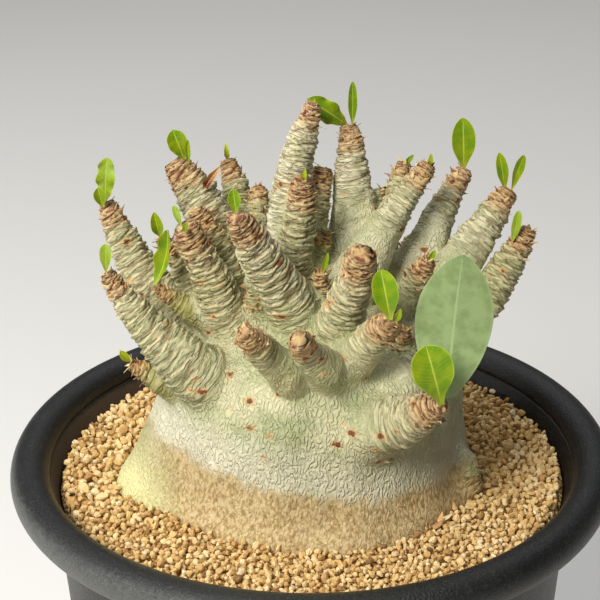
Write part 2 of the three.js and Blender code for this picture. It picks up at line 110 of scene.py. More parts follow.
# Branches: name, tip, middle and foot, the radius at each, and their bark:
# olive (0 grey-green to 1 olive), chalk (0 plain to 1 whitish), rings (height of the scar rings)
# and scales (how thick the dried scales stand at the tip and down the side).
BRANCHES = [
    ("left_upper", (-58, 8, 211), (-53, 5, 201), (-42, 0, 185), (2.5, 4.5, 6), 0.2, 0.2, 1.0, 0.5),
    ("left_lower", (-55, -22, 202), (-48, -24, 192), (-31, -26, 174), (2.2, 4.5, 8.5), 0.1, 0.2, 1.0, 0.8),
    ("left_foot", (-50, -20, 174), (-46, -20, 172), (-40, -20, 168), (1.6, 3, 4), 0.8, 0.0, 0.7, 0.8),
    ("upper_left", (-38, 15, 220), (-31, 12, 210), (-20, 4, 191), (3.8, 6, 7), 0.2, 0.5, 0.9, 0.8),
    ("back_left", (-24, 32, 215), (-22, 28, 209), (-20, 20, 197), (2.4, 3.4, 4.5), 0.3, 0.1, 0.8, 0.8),
    ("back_left_stub", (-15, 22, 210), (-15, 18, 205), (-16, 14, 198), (2.4, 3.2, 4.5), 0.2, 0.0, 0.7, 1.5),
    ("left_middle", (-33, -18, 213), (-29, -16, 202), (-22, -14, 183), (3.5, 4.6, 6.5), 0.3, 0.1, 0.9, 1.2),
    ("left_inner", (-31, -3, 212), (-26, -4, 202), (-20, -6, 189), (3, 4.2, 5.5), 0.4, 0.0, 0.9, 1.4),
    ("left_behind", (-41, -4, 205), (-36, -4, 197), (-30, -4, 188), (2.4, 3.5, 4.5), 0.4, 0.0, 0.8, 0.8),
    ("left_olive", (-42, -15, 195), (-37, -15, 191), (-30, -14, 186), (2, 3, 3.8), 1.0, 0.0, 0.5, 0.5),
    ("tall", (1, 8, 240), (-3, 6, 228), (-7, 3, 207), (2.2, 4.2, 6), 0.0, 0.9, 0.9, 0.7),
    ("centre_left", (-19, -28, 220), (-12, -22, 205), (-4, -16, 186), (3.2, 5.6, 7.5), 0.2, 0.5, 0.9, 0.8),
    ("centre", (-2, -9, 223), (-3, -8, 212), (-5, -6, 198), (3, 4, 5), 0.2, 0.2, 1.0, 1.0),
    ("centre_behind", (3.6, 11.5, 219.5), (2, 9, 211), (1, 5, 199), (2.5, 3.2, 4), 0.3, 0.1, 0.8, 0.8),
    ("top", (12, 18, 230), (12.5, 15, 216), (13, 10, 195), (2.7, 5.1, 8.5), 0.1, 0.7, 0.6, 0.5),
    ("front", (13, -38, 213), (11, -31, 201), (7, -24, 186), (3.8, 5, 6.5), 0.1, 0.2, 0.9, 0.7),
    ("front_right", (20, -45, 198), (16, -39, 190), (10, -32, 179), (3, 4.6, 6), 0.3, 0.1, 0.5, 0.6),
    ("front_left_stub", (-17, -52, 198), (-13, -45, 190), (-6, -37, 179), (2.6, 4.2, 5.5),
     0.4, 0.0, 0.4, 0.6),
    ("front_stub", (-3, -52, 196), (-1, -46, 190), (4, -38, 180), (2.6, 3.8, 5), 0.3, 0.1, 0.4, 0.7),
    ("left_bud", (-16, -20, 199), (-15, -18, 194), (-14, -16, 187), (1.8, 2.4, 3), 0.1, 0.0, 0.6, 2.5),
    ("centre_bud", (4, 2, 204), (3, 1, 202), (1, 0, 198), (1.8, 2.4, 3), 0.1, 0.0, 0.6, 2.0),
    ("front_bud", (3, -16, 199), (3, -15, 195), (3, -14, 189), (1.8, 2.4, 3), 0.3, 0.0, 0.6, 1.2),
    ("right_thick", (33, 5, 223), (23, 1, 209), (12, -4, 192), (2.6, 4.6, 7.5), 0.1, 0.3, 0.62, 0.8),
    ("right_behind", (27, 14, 220), (25.5, 11, 215), (23, 7, 208), (2.4, 3, 3.6), 0.2, 0.1, 0.7, 1.2),
    ("top_bud", (20.8, 17.5, 211), (19.8, 17, 208.5), (16, 14, 203.5), (1.8, 2.4, 3.2), 0.1, 0.0, 0.6, 2.5),
    ("right", (45, 22, 215), (38, 16, 205), (30, 8, 192), (2.6, 4.6, 6), 0.1, 0.6, 0.5, 0.8),
    ("right_outer", (57, 12, 212), (48, 6, 201), (33, -2, 183), (2.6, 5, 7), 0.1, 0.3, 0.62, 0.6),
    ("far_right", (62, 2, 204), (55, 0, 192), (43, -5, 177), (2.6, 4.4, 5.2), 0.3, 0.1, 0.9, 1.0),
    ("right_low", (32, -15, 202), (29, -14, 196), (24, -12, 187), (2.2, 3.2, 4), 0.3, 0.1, 0.6, 1.0),
    ("front_low", (33, -50, 176), (26, -44, 169), (13, -35, 160), (2.9, 6.4, 9.5), 0.3, 0.3, 0.7, 0.8),
    ("front_low_stub", (37, -25, 179), (31, -27, 176), (20, -31, 168), (4.2, 5.6, 6.5), 0.1, 0.4, 0.3, 0.3),
    ("right_bud", (26, -22, 184), (25, -22, 180), (24, -22, 176), (2, 2.5, 3), 0.1, 0.0, 0.6, 2.5),
    ("foot_bud", (46.5, -20, 134), (44.8, -19, 136.5), (42, -17, 139.5), (2.8, 3.9, 4.2),
     1.0, 0.0, 0.3, 0.0),
    ("back_bud", (20, 27, 203), (18, 24, 196), (14, 18, 186), (2.4, 3.6, 5), 0.2, 0.1, 0.7, 1.2),
    ("rear_far_left", (-55, 24, 188), (-47, 20, 180), (-36, 15, 168), (2.5, 4.5, 6), 0.3, 0.1, 0.8, 0.8),
    ("rear_left", (-28, 46, 194), (-23, 38, 185), (-16, 28, 171), (3, 5, 6.5), 0.2, 0.3, 0.9, 0.8),
    ("rear", (-8, 54, 186), (-7, 46, 180), (-5, 35, 168), (3, 5, 7), 0.1, 0.3, 0.8, 0.6),
    ("rear_tall", (-4, 38, 206), (-4, 32, 197), (-4, 22, 182), (2.6, 4.6, 6.5), 0.2, 0.4, 0.9, 0.8),
    ("rear_right_tall", (16, 46, 200), (14, 38, 190), (10, 27, 175), (2.6, 4.6, 6.5), 0.2, 0.2, 0.9, 0.8),
    ("rear_right", (33, 46, 184), (28, 38, 177), (20, 28, 165), (2.6, 4.6, 6.5), 0.2, 0.3, 0.8, 0.7),
    ("rear_right_outer", (50, 34, 186), (42, 28, 178), (31, 20, 166), (2.6, 4.6, 6), 0.3, 0.2, 0.9, 0.9),
    ("rear_far_right", (58, 20, 184), (50, 17, 177), (38, 13, 166), (2.6, 4.6, 6), 0.3, 0.1, 0.8, 0.8),
    ("rear_left_low", (-42, 46, 172), (-35, 38, 166), (-27, 29, 158), (3, 4.5, 5.5), 0.5, 0.1, 0.6, 0.7),
    ("rear_right_low", (24, 54, 170), (20, 46, 165), (15, 35, 157), (3, 5, 6), 0.3, 0.3, 0.6, 0.6),
]

# Leaves: name, foot, tip, width, arch (how far the blade bows towards its face, as a share of its
# length), fold (how far the halves lift along the midrib), crinkle, place of the widest part,
# the face's direction and the kind of green.
FRONT = (0, -0.9, 0.4)
LEAVES = [
    ("left_upper", (-58.8, 8, 212.3), (-57.4, 8, 226), 5.2, 0.05, 0.25, 1.3, 0.5, FRONT, "pale"),
    ("left_upper_young", (-59.0, 4.6, 212.3), (-59.8, 3, 218.8), 3.5, 0.05, 0.5, 0.1, 0.7, FRONT, "lime"),
    ("left_lower", (-55.6, -23.2, 203.9), (-55.2, -24, 212.4), 3.2, 0.08, 0.3, 0.2, 0.68, FRONT, "pale"),
    ("left_foot", (-50.6, -21.4, 175.9), (-53, -24, 180.6), 2.3, 0.1, 0.6, 0.1, 0.7, FRONT, "yellow"),
    ("left_folded", (-43.2, -16, 197), (-39, -18, 214), 4.8, -0.12, 0.8, 0.9, 0.42,
     (-0.5, -0.8, 0.3), "lime"),
    ("left_inner", (-42.2, -4.6, 206.8), (-43.5, -6, 214.6), 3.4, 0.1, 0.6, 0.1, 0.5, FRONT, "lime"),
    ("left_pale", (-35, -19.4, 215.6), (-36.8, -19, 221.4), 1.9, 0.05, 0.3, 0.2, 0.6, FRONT, "pale"),
    ("left_pale_nub", (-34, -22, 214.8), (-33.2, -24, 218.4), 1.6, 0.05, 0.3, 0.0, 0.6, FRONT, "lime"),
    ("upper_left_broad", (-35.8, 12, 223.9), (-38.5, 10, 233.4), 5.7, 0.08, 0.3, 0.2, 0.66, FRONT, "green"),
    ("upper_left_bract", (-30.4, 10.2, 215), (-25.4, 10, 222.4), 2.3, 0.3, 1.4, 1.6, 0.4, FRONT, "dried"),
    ("upper_left_narrow", (-34.4, 9, 223.6), (-34.3, 8, 231.2), 1.5, 0.05, 0.6, 0.0, 0.5, FRONT, "lime"),
    ("back_spike", (-24.3, 32, 217.2), (-24.6, 30.6, 222.6), 1.6, 0.2, 0.6, 0.0, 0.4, FRONT, "yellow"),
    ("centre_left", (-19.6, -29.6, 223.0), (-20.2, -30, 230), 3.4, 0.08, 0.4, 0.1, 0.62, FRONT, "lime"),
    ("centre_hook", (-1.7, -9.4, 225.0), (-1.2, -11, 228.8), 1.5, 0.2, 0.6, 0.0, 0.4, FRONT, "yellow"),
    ("top_wide", (10.9, 18.8, 231.8), (-0.2, 15, 240.6), 6.4, 0.12, 0.25, 1.0, 0.55,
     (-0.3, -0.8, 0.5), "green"),
    ("top_upright", (12.6, 18, 231.8), (12.6, 17, 245), 2.6, 0.03, 0.5, 0.1, 0.5, FRONT, "green"),
    ("back_dark", (20.6, 27.4, 204.9), (24.5, 26, 209.8), 3.9, 0.1, 0.2, 0.1, 0.6, FRONT, "dark"),
    ("right_inner_tiny", (28, 14.2, 221.4), (30, 12.6, 224.4), 1.5, 0.15, 0.5, 0.0, 0.5, FRONT, "lime"),
    ("right_hook", (34, 4.8, 224.4), (34.2, 3, 228), 1.5, 0.25, 0.5, 0.0, 0.5, FRONT, "yellow"),
    ("right_oval", (45.6, 22.6, 216.4), (44.8, 22, 232.4), 7, 0.05, 0.25, 0.1, 0.58, FRONT, "lime"),
    ("right_pair_a", (56.6, 11.6, 213.8), (54.2, 10, 225.7), 3.4, 0.06, 0.4, 0.1, 0.6, FRONT, "lime"),
    ("right_pair_b", (58.6, 12.4, 213.2), (61.5, 11, 224.6), 2.9, -0.1, 0.5, 0.4, 0.6, FRONT, "lime"),
    ("far_right_pale", (57.6, -1, 202.7), (59.1, -1, 212.1), 2.6, 0.05, 0.3, 0.1, 0.55, FRONT, "pale"),
    ("front_oval", (20.4, -47.2, 199.7), (17.8, -46, 213.4), 6.7, 0.08, 0.25, 0.1, 0.6, FRONT, "green"),
    ("front_oval_young", (21.8, -47.6, 199.5), (22.9, -49, 203.7), 1.6, 0.1, 0.5, 0.0, 0.5, FRONT, "lime"),
    ("right_low_tiny", (32.8, -15.6, 203.0), (34.3, -16, 206.4), 1.7, 0.1, 0.5, 0.0, 0.5, FRONT, "lime"),
    ("front_spatulate", (33.8, -51.8, 177.2), (29.2, -54, 195.5), 11.1, 0.1, 0.2, 0.2, 0.68,
     FRONT, "spoon"),
    ("front_big", (35.4, -49, 178.0), (39.2, -42, 215.7), 20.6, -0.08, -0.08, 0.1, 0.52, FRONT, "glaucous"),
    ("centre_tiny", (3.4, -16.6, 200.2), (4.8, -17, 206.4), 1.5, 0.1, 0.5, 0.0, 0.5, FRONT, "lime"),
    ("rear_oval", (-8, 55.6, 186.7), (-8.5, 57, 199), 6, 0.1, 0.25, 0.1, 0.6, (0, 0.9, 0.4), "lime"),
    ("rear_right", (24.8, 56, 170.7), (27, 60, 182), 5.5, 0.1, 0.25, 0.1, 0.6, (0.3, 0.85, 0.4), "green"),
]
# How slowly a blade of some kind swells from its stalk, and two powers for how blunt its tip is,
# with what holds for every other kind.
BLADE_SWELLS = {"glaucous": 0.85, "spoon": 2.3}
BLADE_TIPS = {"glaucous": (2.0, 0.7), "spoon": (2.8, 0.5), "pale": (3.0, 0.44), "green": (2.6, 0.52)}
USUAL_SWELL = 1.5
USUAL_TIP = (2.3, 0.6)
STALK_SHARE = 0.16

# Bark that peels from the caudex: direction in degrees, height, length, width and tone.
PEELING = [
    (285, 157.5, 2.2, 0.9, 0.9), (287, 156.5, 3.6, 1.3, 0.85), (290, 156.5, 3.2, 1.0, 0.1),
    (292.5, 155.5, 3.8, 1.2, 0.8), (296, 155, 2.6, 0.9, 0.2), (247, 160, 1.6, 0.8, 0.4),
    (262, 163, 1.8, 0.7, 0.4), (300, 140, 2.0, 0.7, 0.3),
]
# Dried bracts lying on the grit: place, direction in degrees, length, width and tone.
LITTER = [
    ((33.5, -39, 132.2), 20, 4.2, 1.3, 0.28), ((36, -36.5, 132.2), 75, 3.6, 1.1, 0.45),
    ((30.5, -42, 132.0), 160, 3.0, 1.0, 0.2), ((41, -30, 132.2), 100, 3.0, 0.9, 0.4),
    ((37, -35, 132.6), 10, 3.2, 1.0, 0.7), ((20, -48, 132.0), 190, 2.6, 0.9, 0.2),
    ((-22, 50, 132.4), 20, 5.0, 1.8, 0.2),
]

# ---------------------------------------------------------------- lines, frames and noise


def unit(vectors):
    """Each vector divided by its length."""
    vectors = np.asarray(vectors, float)
    return vectors / np.maximum(np.linalg.norm(vectors, axis=-1, keepdims=True), 1e-12)


def smoothstep(low, high, value):
    """0 below low, 1 above high, and the cubic 3t^2 - 2t^3 between."""
    t = np.clip((value - low) / (high - low), 0, 1)
    return t * t * (3 - 2 * t)


def spline(points, samples):
    """A Catmull-Rom curve: between two points, the cubic whose slope at each point is half the
    chord between that point's neighbours. The samples are evenly spread over the stretches."""
    points = np.asarray(points, float)
    ends = np.vstack([2 * points[0] - points[1], points, 2 * points[-1] - points[-2]])
    t = np.linspace(0, len(points) - 1, samples)
    i = np.minimum(t.astype(int), len(points) - 2)
    f = (t - i)[:, None]
    a, b, c, d = ends[i], ends[i + 1], ends[i + 2], ends[i + 3]
    return 0.5 * (2 * b + (c - a) * f + (2 * a - 5 * b + 4 * c - d) * f**2
                  + (3 * b - a - 3 * c + d) * f**3)


def lengths_along(axis):
    """Distance run along a line of points, at each point."""
    steps = np.linalg.norm(np.diff(axis, axis=0), axis=1)
    return np.concatenate([[0], np.cumsum(steps)])


def carried_frame(axis, start):
    """Tangent and two square directions at each point of a line. The first square direction
    starts near `start`, and each next one is the last made square to its own tangent."""
    along = unit(np.gradient(axis, axis=0))
    across = np.empty_like(along)
    last = np.asarray(start, float)
    for i, tangent in enumerate(along):
        last = unit(last - tangent * (last @ tangent))
        across[i] = last
    return along, across, np.cross(along, across)


def waves(points, size, seed, count=9):
    """Smooth noise from -1 to 1: the mean of sines of random direction and phase, whose
    wavelengths lie round `size`."""
    rng = np.random.default_rng(seed)
    directions = unit(rng.normal(size=(count, 3))) * rng.uniform(0.7, 1.5, (count, 1))
    phases = rng.uniform(0, 2 * math.pi, count)
    angles = np.tensordot(points, directions.T * 2 * math.pi / size, axes=1) + phases
    return np.sin(angles).mean(axis=-1) * 2


# ---------------------------------------------------------------- the plant as distances


def profile_curve(samples):
    """The caudex profile as a smooth curve of (radius, height)."""
    return spline([(radius, height) for height, radius in TRUNK_PROFILE], samples)


def buttress(angle, height):
    """How far the buttresses push the caudex out: bells in direction and in height."""
    out = np.zeros(np.broadcast(angle, height).shape)
    for turn, reach, spread, middle in BUTTRESSES:
        away = (np.degrees(angle) - turn + 180) % 360 - 180
        out += reach * np.exp(-(away / spread) ** 2 - ((height - middle) / BUTTRESS_RISE) ** 2)
    return out


class Trunk:
    """The caudex body as a distance: a table of the signed distance to its turned profile, read
    at (radius less the buttresses, height)."""

    STEP = 0.5

    def __init__(self):
        curve = profile_curve(160)
        radii = np.arange(-12, 90, self.STEP)
        heights = np.arange(70, 215, self.STEP)
        grid = np.stack(np.meshgrid(radii, heights, indexing="ij"), -1)
        self.low = np.array([radii[0], heights[0]])
        away = np.full(grid.shape[:2], 1e9)
        side = np.ones(grid.shape[:2])
        for a, b in zip(curve[:-1], curve[1:]):
            edge = b - a
            t = np.clip(((grid - a) @ edge) / (edge @ edge), 0, 1)
            gap = grid - a - t[..., None] * edge
            size = np.hypot(gap[..., 0], gap[..., 1])
            turn = edge[0] * gap[..., 1] - edge[1] * gap[..., 0]
            nearer = size < away
            away[nearer] = size[nearer]
            side[nearer] = np.where(turn > 0, -1.0, 1.0)[nearer]
        self.table = away * side

    def distance(self, points):
        """The signed distance at each point, read between the four nearest places in the table."""
        angle = np.arctan2(points[:, 1], points[:, 0])
        radius = np.hypot(points[:, 0], points[:, 1]) - buttress(angle, points[:, 2])
        place = (np.stack([radius, points[:, 2]], -1) - self.low) / self.STEP
        place = np.clip(place, 0, np.array(self.table.shape) - 1.001)
        i = place.astype(int)
        f = place - i
        table = self.table
        low = table[i[:, 0], i[:, 1]] * (1 - f[:, 0]) + table[i[:, 0] + 1, i[:, 1]] * f[:, 0]
        high = table[i[:, 0], i[:, 1] + 1] * (1 - f[:, 0]) + table[i[:, 0] + 1, i[:, 1] + 1] * f[:, 0]
        return low * (1 - f[:, 1]) + high * f[:, 1]


class Limb:
    """A round limb that tapers along a smooth axis, as a distance: how far a point lies from the
    axis, less the radius there."""

    FAR = 40.0

    def __init__(self, points, radii):
        line = spline(np.column_stack([points, radii]), 4 * (len(radii) - 1) + 1)
        self.axis = line[:, :3]
        self.radius = line[:, 3]
        self.low = (self.axis - self.radius[:, None]).min(0)
        self.high = (self.axis + self.radius[:, None]).max(0)

    def distance(self, points):
        """The distance at each point, worked out only near the limb and taken as far elsewhere."""
        best = np.full(len(points), self.FAR)
        close = np.flatnonzero(np.all((points > self.low - 12) & (points < self.high + 12), axis=1))
        near = points[close]
        least = best[close]
        for i in range(len(self.axis) - 1):
            a, edge = self.axis[i], self.axis[i + 1] - self.axis[i]
            away = near - a
            t = np.clip((away @ edge) / (edge @ edge), 0, 1)
            gap = np.sqrt(((away - t[:, None] * edge) ** 2).sum(1))
            radius = self.radius[i] + (self.radius[i + 1] - self.radius[i]) * t
            least = np.minimum(least, gap - radius)
        best[close] = least
        return best

    def near(self, other, room):
        """Whether the boxes of two limbs come within `room` of each other."""
        return bool(np.all(self.low - room < other.high) and np.all(other.low - room < self.high))


def branch_limb(tip, mid, foot, radii):
    """A branch's own points, led on from its foot down and inwards to its start in the trunk."""
    heart = (foot[0] * HEART_INWARD, foot[1] * HEART_INWARD, foot[2] - HEART_BELOW)
    return Limb([heart, foot, mid, tip], [radii[2] * 1.2, radii[2], radii[1], radii[0]])


TRUNK = Trunk()
LIMBS = {row[0]: branch_limb(*row[1:5]) for row in BRANCHES}


def melted(points, bodies, own, blend):
    """The melted distance of points from several bodies, which is
    -blend * log(sum of exp(-distance / blend)), and how much nearer than its own body the nearest
    other one is."""
    gaps = np.stack([body.distance(points) for body in bodies])
    total = -blend * np.log(np.exp(-np.clip(gaps, -20, 40) / blend).sum(0))
    others = np.delete(gaps, own, axis=0).min(0) if len(bodies) > 1 else np.full(len(points), 40.0)
    return total, gaps[own] - others


def fitted(points, outward, bodies, own, blend, most):
    """Points pushed along their outward directions until the melted distance is nought, at most
    `most` away, then sunk where another body shows."""
    start = points.copy()
    run = np.zeros(len(points))
    for _ in range(4):
        total, _under = melted(start + outward * run[:, None], bodies, own, blend)
        run = np.clip(run - total, -1.0, most)
    moved = start + outward * run[:, None]
    _total, under = melted(moved, bodies, own, blend)
    sink = np.clip(under * 0.35, 0, 1.2)
    return moved - outward * sink[:, None], np.clip(under, -40, 40)


# ---------------------------------------------------------------- meshes


def put(name, vertices, faces, finish, replaces=(), marks=None, uv=None, smooth=True):
    """Puts arrays of vertices (millimetres) and quads or triangles into a piece that rides on the
    root body. `marks` are numbers at the vertices, and `uv` is a coordinate at each of them."""
    mesh = bpy.data.meshes.new(name)
    vertices = np.asarray(vertices, np.float32) * MM
    faces = [np.asarray(part, np.int32) for part in faces if len(part)]
    corners = np.concatenate([part.ravel() for part in faces])
    sizes = np.concatenate([np.full(len(part), part.shape[1], np.int32) for part in faces])
    mesh.vertices.add(len(vertices))
    mesh.vertices.foreach_set("co", vertices.ravel())
    mesh.loops.add(len(corners))
    mesh.loops.foreach_set("vertex_index", corners)
    mesh.polygons.add(len(sizes))
    mesh.polygons.foreach_set("loop_start", np.concatenate([[0], np.cumsum(sizes)[:-1]]))
    mesh.polygons.foreach_set("use_smooth", np.full(len(sizes), smooth))
    mesh.update(calc_edges=True)
    mesh.validate()
    for mark, values in (marks or {}).items():
        layer = mesh.attributes.new(mark, "FLOAT", "POINT")
        layer.data.foreach_set("value", np.asarray(values, np.float32))
    if uv is not None:
        layer = mesh.uv_layers.new(name="UVMap")
        layer.data.foreach_set("uv", np.asarray(uv, np.float32)[corners].ravel())
    mesh.materials.append(finish)
    piece = bpy.data.objects.new(name, mesh)
    bpy.context.scene.collection.objects.link(piece)
    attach(piece, "root")
    if replaces:
        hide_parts(*replaces)
    return piece


def ring_quads(rows, columns):
    """Quads between rows of a grid whose columns close on themselves, facing away from the axis
    when the rows run up it and the columns turn anticlockwise seen from its end."""
    row, column = np.meshgrid(np.arange(rows - 1), np.arange(columns), indexing="ij")
    after = (column + 1) % columns
    quads = [row * columns + column, row * columns + after,
             (row + 1) * columns + after, (row + 1) * columns + column]
    return np.stack(quads, -1).reshape(-1, 4)


def closed_tube(rings, start, end):
    """Vertices and faces of a skin carried along rings and closed by a point at each end."""
    rows, columns = rings.shape[:2]
    vertices = np.vstack([rings.reshape(-1, 3), [start], [end]])
    turn = np.arange(columns)
    after = (turn + 1) % columns
    first, last = rows * columns, rows * columns + 1
    top = (rows - 1) * columns
    fans = np.vstack([
        np.stack([np.full(columns, first), after, turn], -1),
        np.stack([top + turn, top + after, np.full(columns, last)], -1),
    ])
    return vertices, [ring_quads(rows, columns), fans]


def plate(top, bottom):
    """Vertices and faces of a thin closed plate from two grids, one over the other, whose edges
    are joined. The top faces up when its rows run away and its columns run right to left."""
    rows, columns = top.shape[:2]
    count = rows * columns
    row, column = np.meshgrid(np.arange(rows - 1), np.arange(columns - 1), indexing="ij")
    a = (row * columns + column).ravel()
    quads = np.stack([a, a + 1, a + columns + 1, a + columns], -1)
    index = np.arange(count).reshape(rows, columns)
    rim = np.concatenate([index[0, :], index[1:, -1], index[-1, -2::-1], index[-2:0:-1, 0]])
    after = np.roll(rim, -1)
    edge = np.stack([after, rim, rim + count, after + count], -1)
    vertices = np.vstack([top.reshape(-1, 3), bottom.reshape(-1, 3)])
    return vertices, [quads, quads[:, ::-1] + count, edge]

# ---------------------------------------------------------------- shader sums


class Wire:
    """A socket of a node tree, so that a sum of shader values reads as a Python sum."""

    def __init__(self, tree, socket):
        self.tree = tree
        self.socket = socket

    def maths(self, operation, *values):
        """A Math node over wires and numbers."""
        return self.tree.node("ShaderNodeMath", {"operation": operation}, dict(enumerate(values)))

    def __add__(self, other):
        return self.maths("ADD", self, other)

    def __radd__(self, other):
        return self.maths("ADD", other, self)

    def __sub__(self, other):
        return self.maths("SUBTRACT", self, other)

    def __rsub__(self, other):
        return self.maths("SUBTRACT", other, self)

    def __mul__(self, other):
        return self.maths("MULTIPLY", self, other)

    def __rmul__(self, other):
        return self.maths("MULTIPLY", other, self)

    def __pow__(self, other):
        return self.maths("POWER", self, other)

    def __abs__(self):
        return self.maths("ABSOLUTE", self)

    def sine(self):
        """The sine of the value, in radians."""
        return self.maths("SINE", self)

    def clamped(self):
        """The value kept between 0 and 1."""
        return self.tree.node("ShaderNodeClamp", {}, {0: self})

    def step(self, low, high):
        """0 below low, 1 above high and a smooth rise between; falls instead if low > high."""
        lowest, highest, ends = (low, high, (0, 1)) if low < high else (high, low, (1, 0))
        return self.tree.node(
            "ShaderNodeMapRange", {"interpolation_type": "SMOOTHSTEP"},
            {"Value": self, "From Min": lowest, "From Max": highest,
             "To Min": ends[0], "To Max": ends[1]})


class Finish:
    """A material's node tree, built by method calls that return wires."""

    def __init__(self, name, **shader):
        self.material = bpy.data.materials.new(name)
        self.material.use_nodes = True
        self.nodes = self.material.node_tree.nodes
        self.links = self.material.node_tree.links
        self.shader = self.nodes["Principled BSDF"]
        for socket, value in shader.items():
            self.shader.inputs[socket.replace("_", " ")].default_value = value

    def node(self, kind, settings, inputs, output=0):
        """A node of any kind: its settings first (a ramp's stops among them), then the values or
        wires of its sockets, and the wire from one of its outputs."""
        node = self.nodes.new(kind)
        for setting, value in settings.items():
            if setting == "stops":
                ramp = node.color_ramp
                while len(ramp.elements) < len(value):
                    ramp.elements.new(0.5)
                for element, (place, colour) in zip(ramp.elements, value):
                    element.position = place
                    element.color = (*colour, 1)
            else:
                setattr(node, setting, value)
        for socket, value in inputs.items():
            if isinstance(value, Wire):
                self.links.new(value.socket, node.inputs[socket])
            else:
                node.inputs[socket].default_value = value
        return Wire(self, node.outputs[output])

    def place(self):
        """The point of the surface in the frame, in millimetres."""
        coordinates = self.node("ShaderNodeTexCoord", {}, {}, "Object")
        return self.node("ShaderNodeVectorMath", {"operation": "SCALE"},
                         {0: coordinates, "Scale": 1 / MM})

    def stretched(self, vector, scale):
        """A vector whose three parts are multiplied by those of another."""
        return self.node("ShaderNodeVectorMath", {"operation": "MULTIPLY"}, {0: vector, 1: scale})

    def shifted(self, vector, by, strength):
        """A vector moved by a colour texture's noise, centred on nought."""
        centred = self.node("ShaderNodeVectorMath", {"operation": "SUBTRACT"},
                            {0: by, 1: (0.5, 0.5, 0.5)})
        moved = self.node("ShaderNodeVectorMath", {"operation": "SCALE"},
                          {0: centred, "Scale": strength})
        return self.node("ShaderNodeVectorMath", {"operation": "ADD"}, {0: vector, 1: moved})

    def parts(self, vector):
        """The three parts of a vector."""
        split = self.node("ShaderNodeSeparateXYZ", {}, {0: vector})
        node = split.socket.node
        return [Wire(self, node.outputs[i]) for i in range(3)]

    def noise(self, vector, size, detail=3, roughness=0.55, output=0):
        """Noise whose blotches are about `size` across, in the vector's own units."""
        return self.node("ShaderNodeTexNoise", {}, {
            "Vector": vector, "Scale": 1 / size, "Detail": detail, "Roughness": roughness}, output)

    def cells(self, vector, size, feature="F1", output=0):
        """Cells about `size` across: the distance to the nearest middle or to the border."""
        return self.node("ShaderNodeTexVoronoi", {"feature": feature},
                         {"Vector": vector, "Scale": 1 / size}, output)

    def mark(self, name):
        """A number kept at the piece's vertices."""
        return self.node("ShaderNodeAttribute", {"attribute_name": name}, {}, "Fac")

    def mix(self, factor, colour_a, colour_b):
        """Colour a where the factor is 0, colour b where it is 1."""
        node = self.nodes.new("ShaderNodeMix")
        node.data_type = "RGBA"
        node.clamp_factor = True
        for socket, value in ((0, factor), (6, colour_a), (7, colour_b)):
            if isinstance(value, Wire):
                self.links.new(value.socket, node.inputs[socket])
            elif socket == 0:
                node.inputs[socket].default_value = value
            else:
                node.inputs[socket].default_value = (*value, 1)
        return Wire(self, node.outputs[2])

    def ramp(self, value, stops):
        """The colour that a number stands for on a run of (place, colour) stops."""
        return self.node("ShaderNodeValToRGB", {"stops": stops}, {0: value})

    def bump(self, height, distance, strength=1.0, under=None):
        """A bump whose height, from 0 to 1, stands for `distance` millimetres."""
        inputs = {"Height": height, "Distance": distance * MM, "Strength": strength}
        if under is not None:
            inputs["Normal"] = under
        return self.node("ShaderNodeBump", {}, inputs)

    def finish(self, **wires):
        """Joins wires to the shader's sockets and returns the material."""
        for socket, wire in wires.items():
            self.links.new(wire.socket, self.shader.inputs[socket.replace("_", " ")])
        return self.material


def srgb(red, green, blue):
    """A colour from its screen values, 0 to 255, to the linear values that shaders take."""
    values = np.array([red, green, blue]) / 255
    linear = np.where(values > 0.04045, ((values + 0.055) / 1.055) ** 2.4, values / 12.92)
    return tuple(float(v) for v in linear)


# ---------------------------------------------------------------- finishes


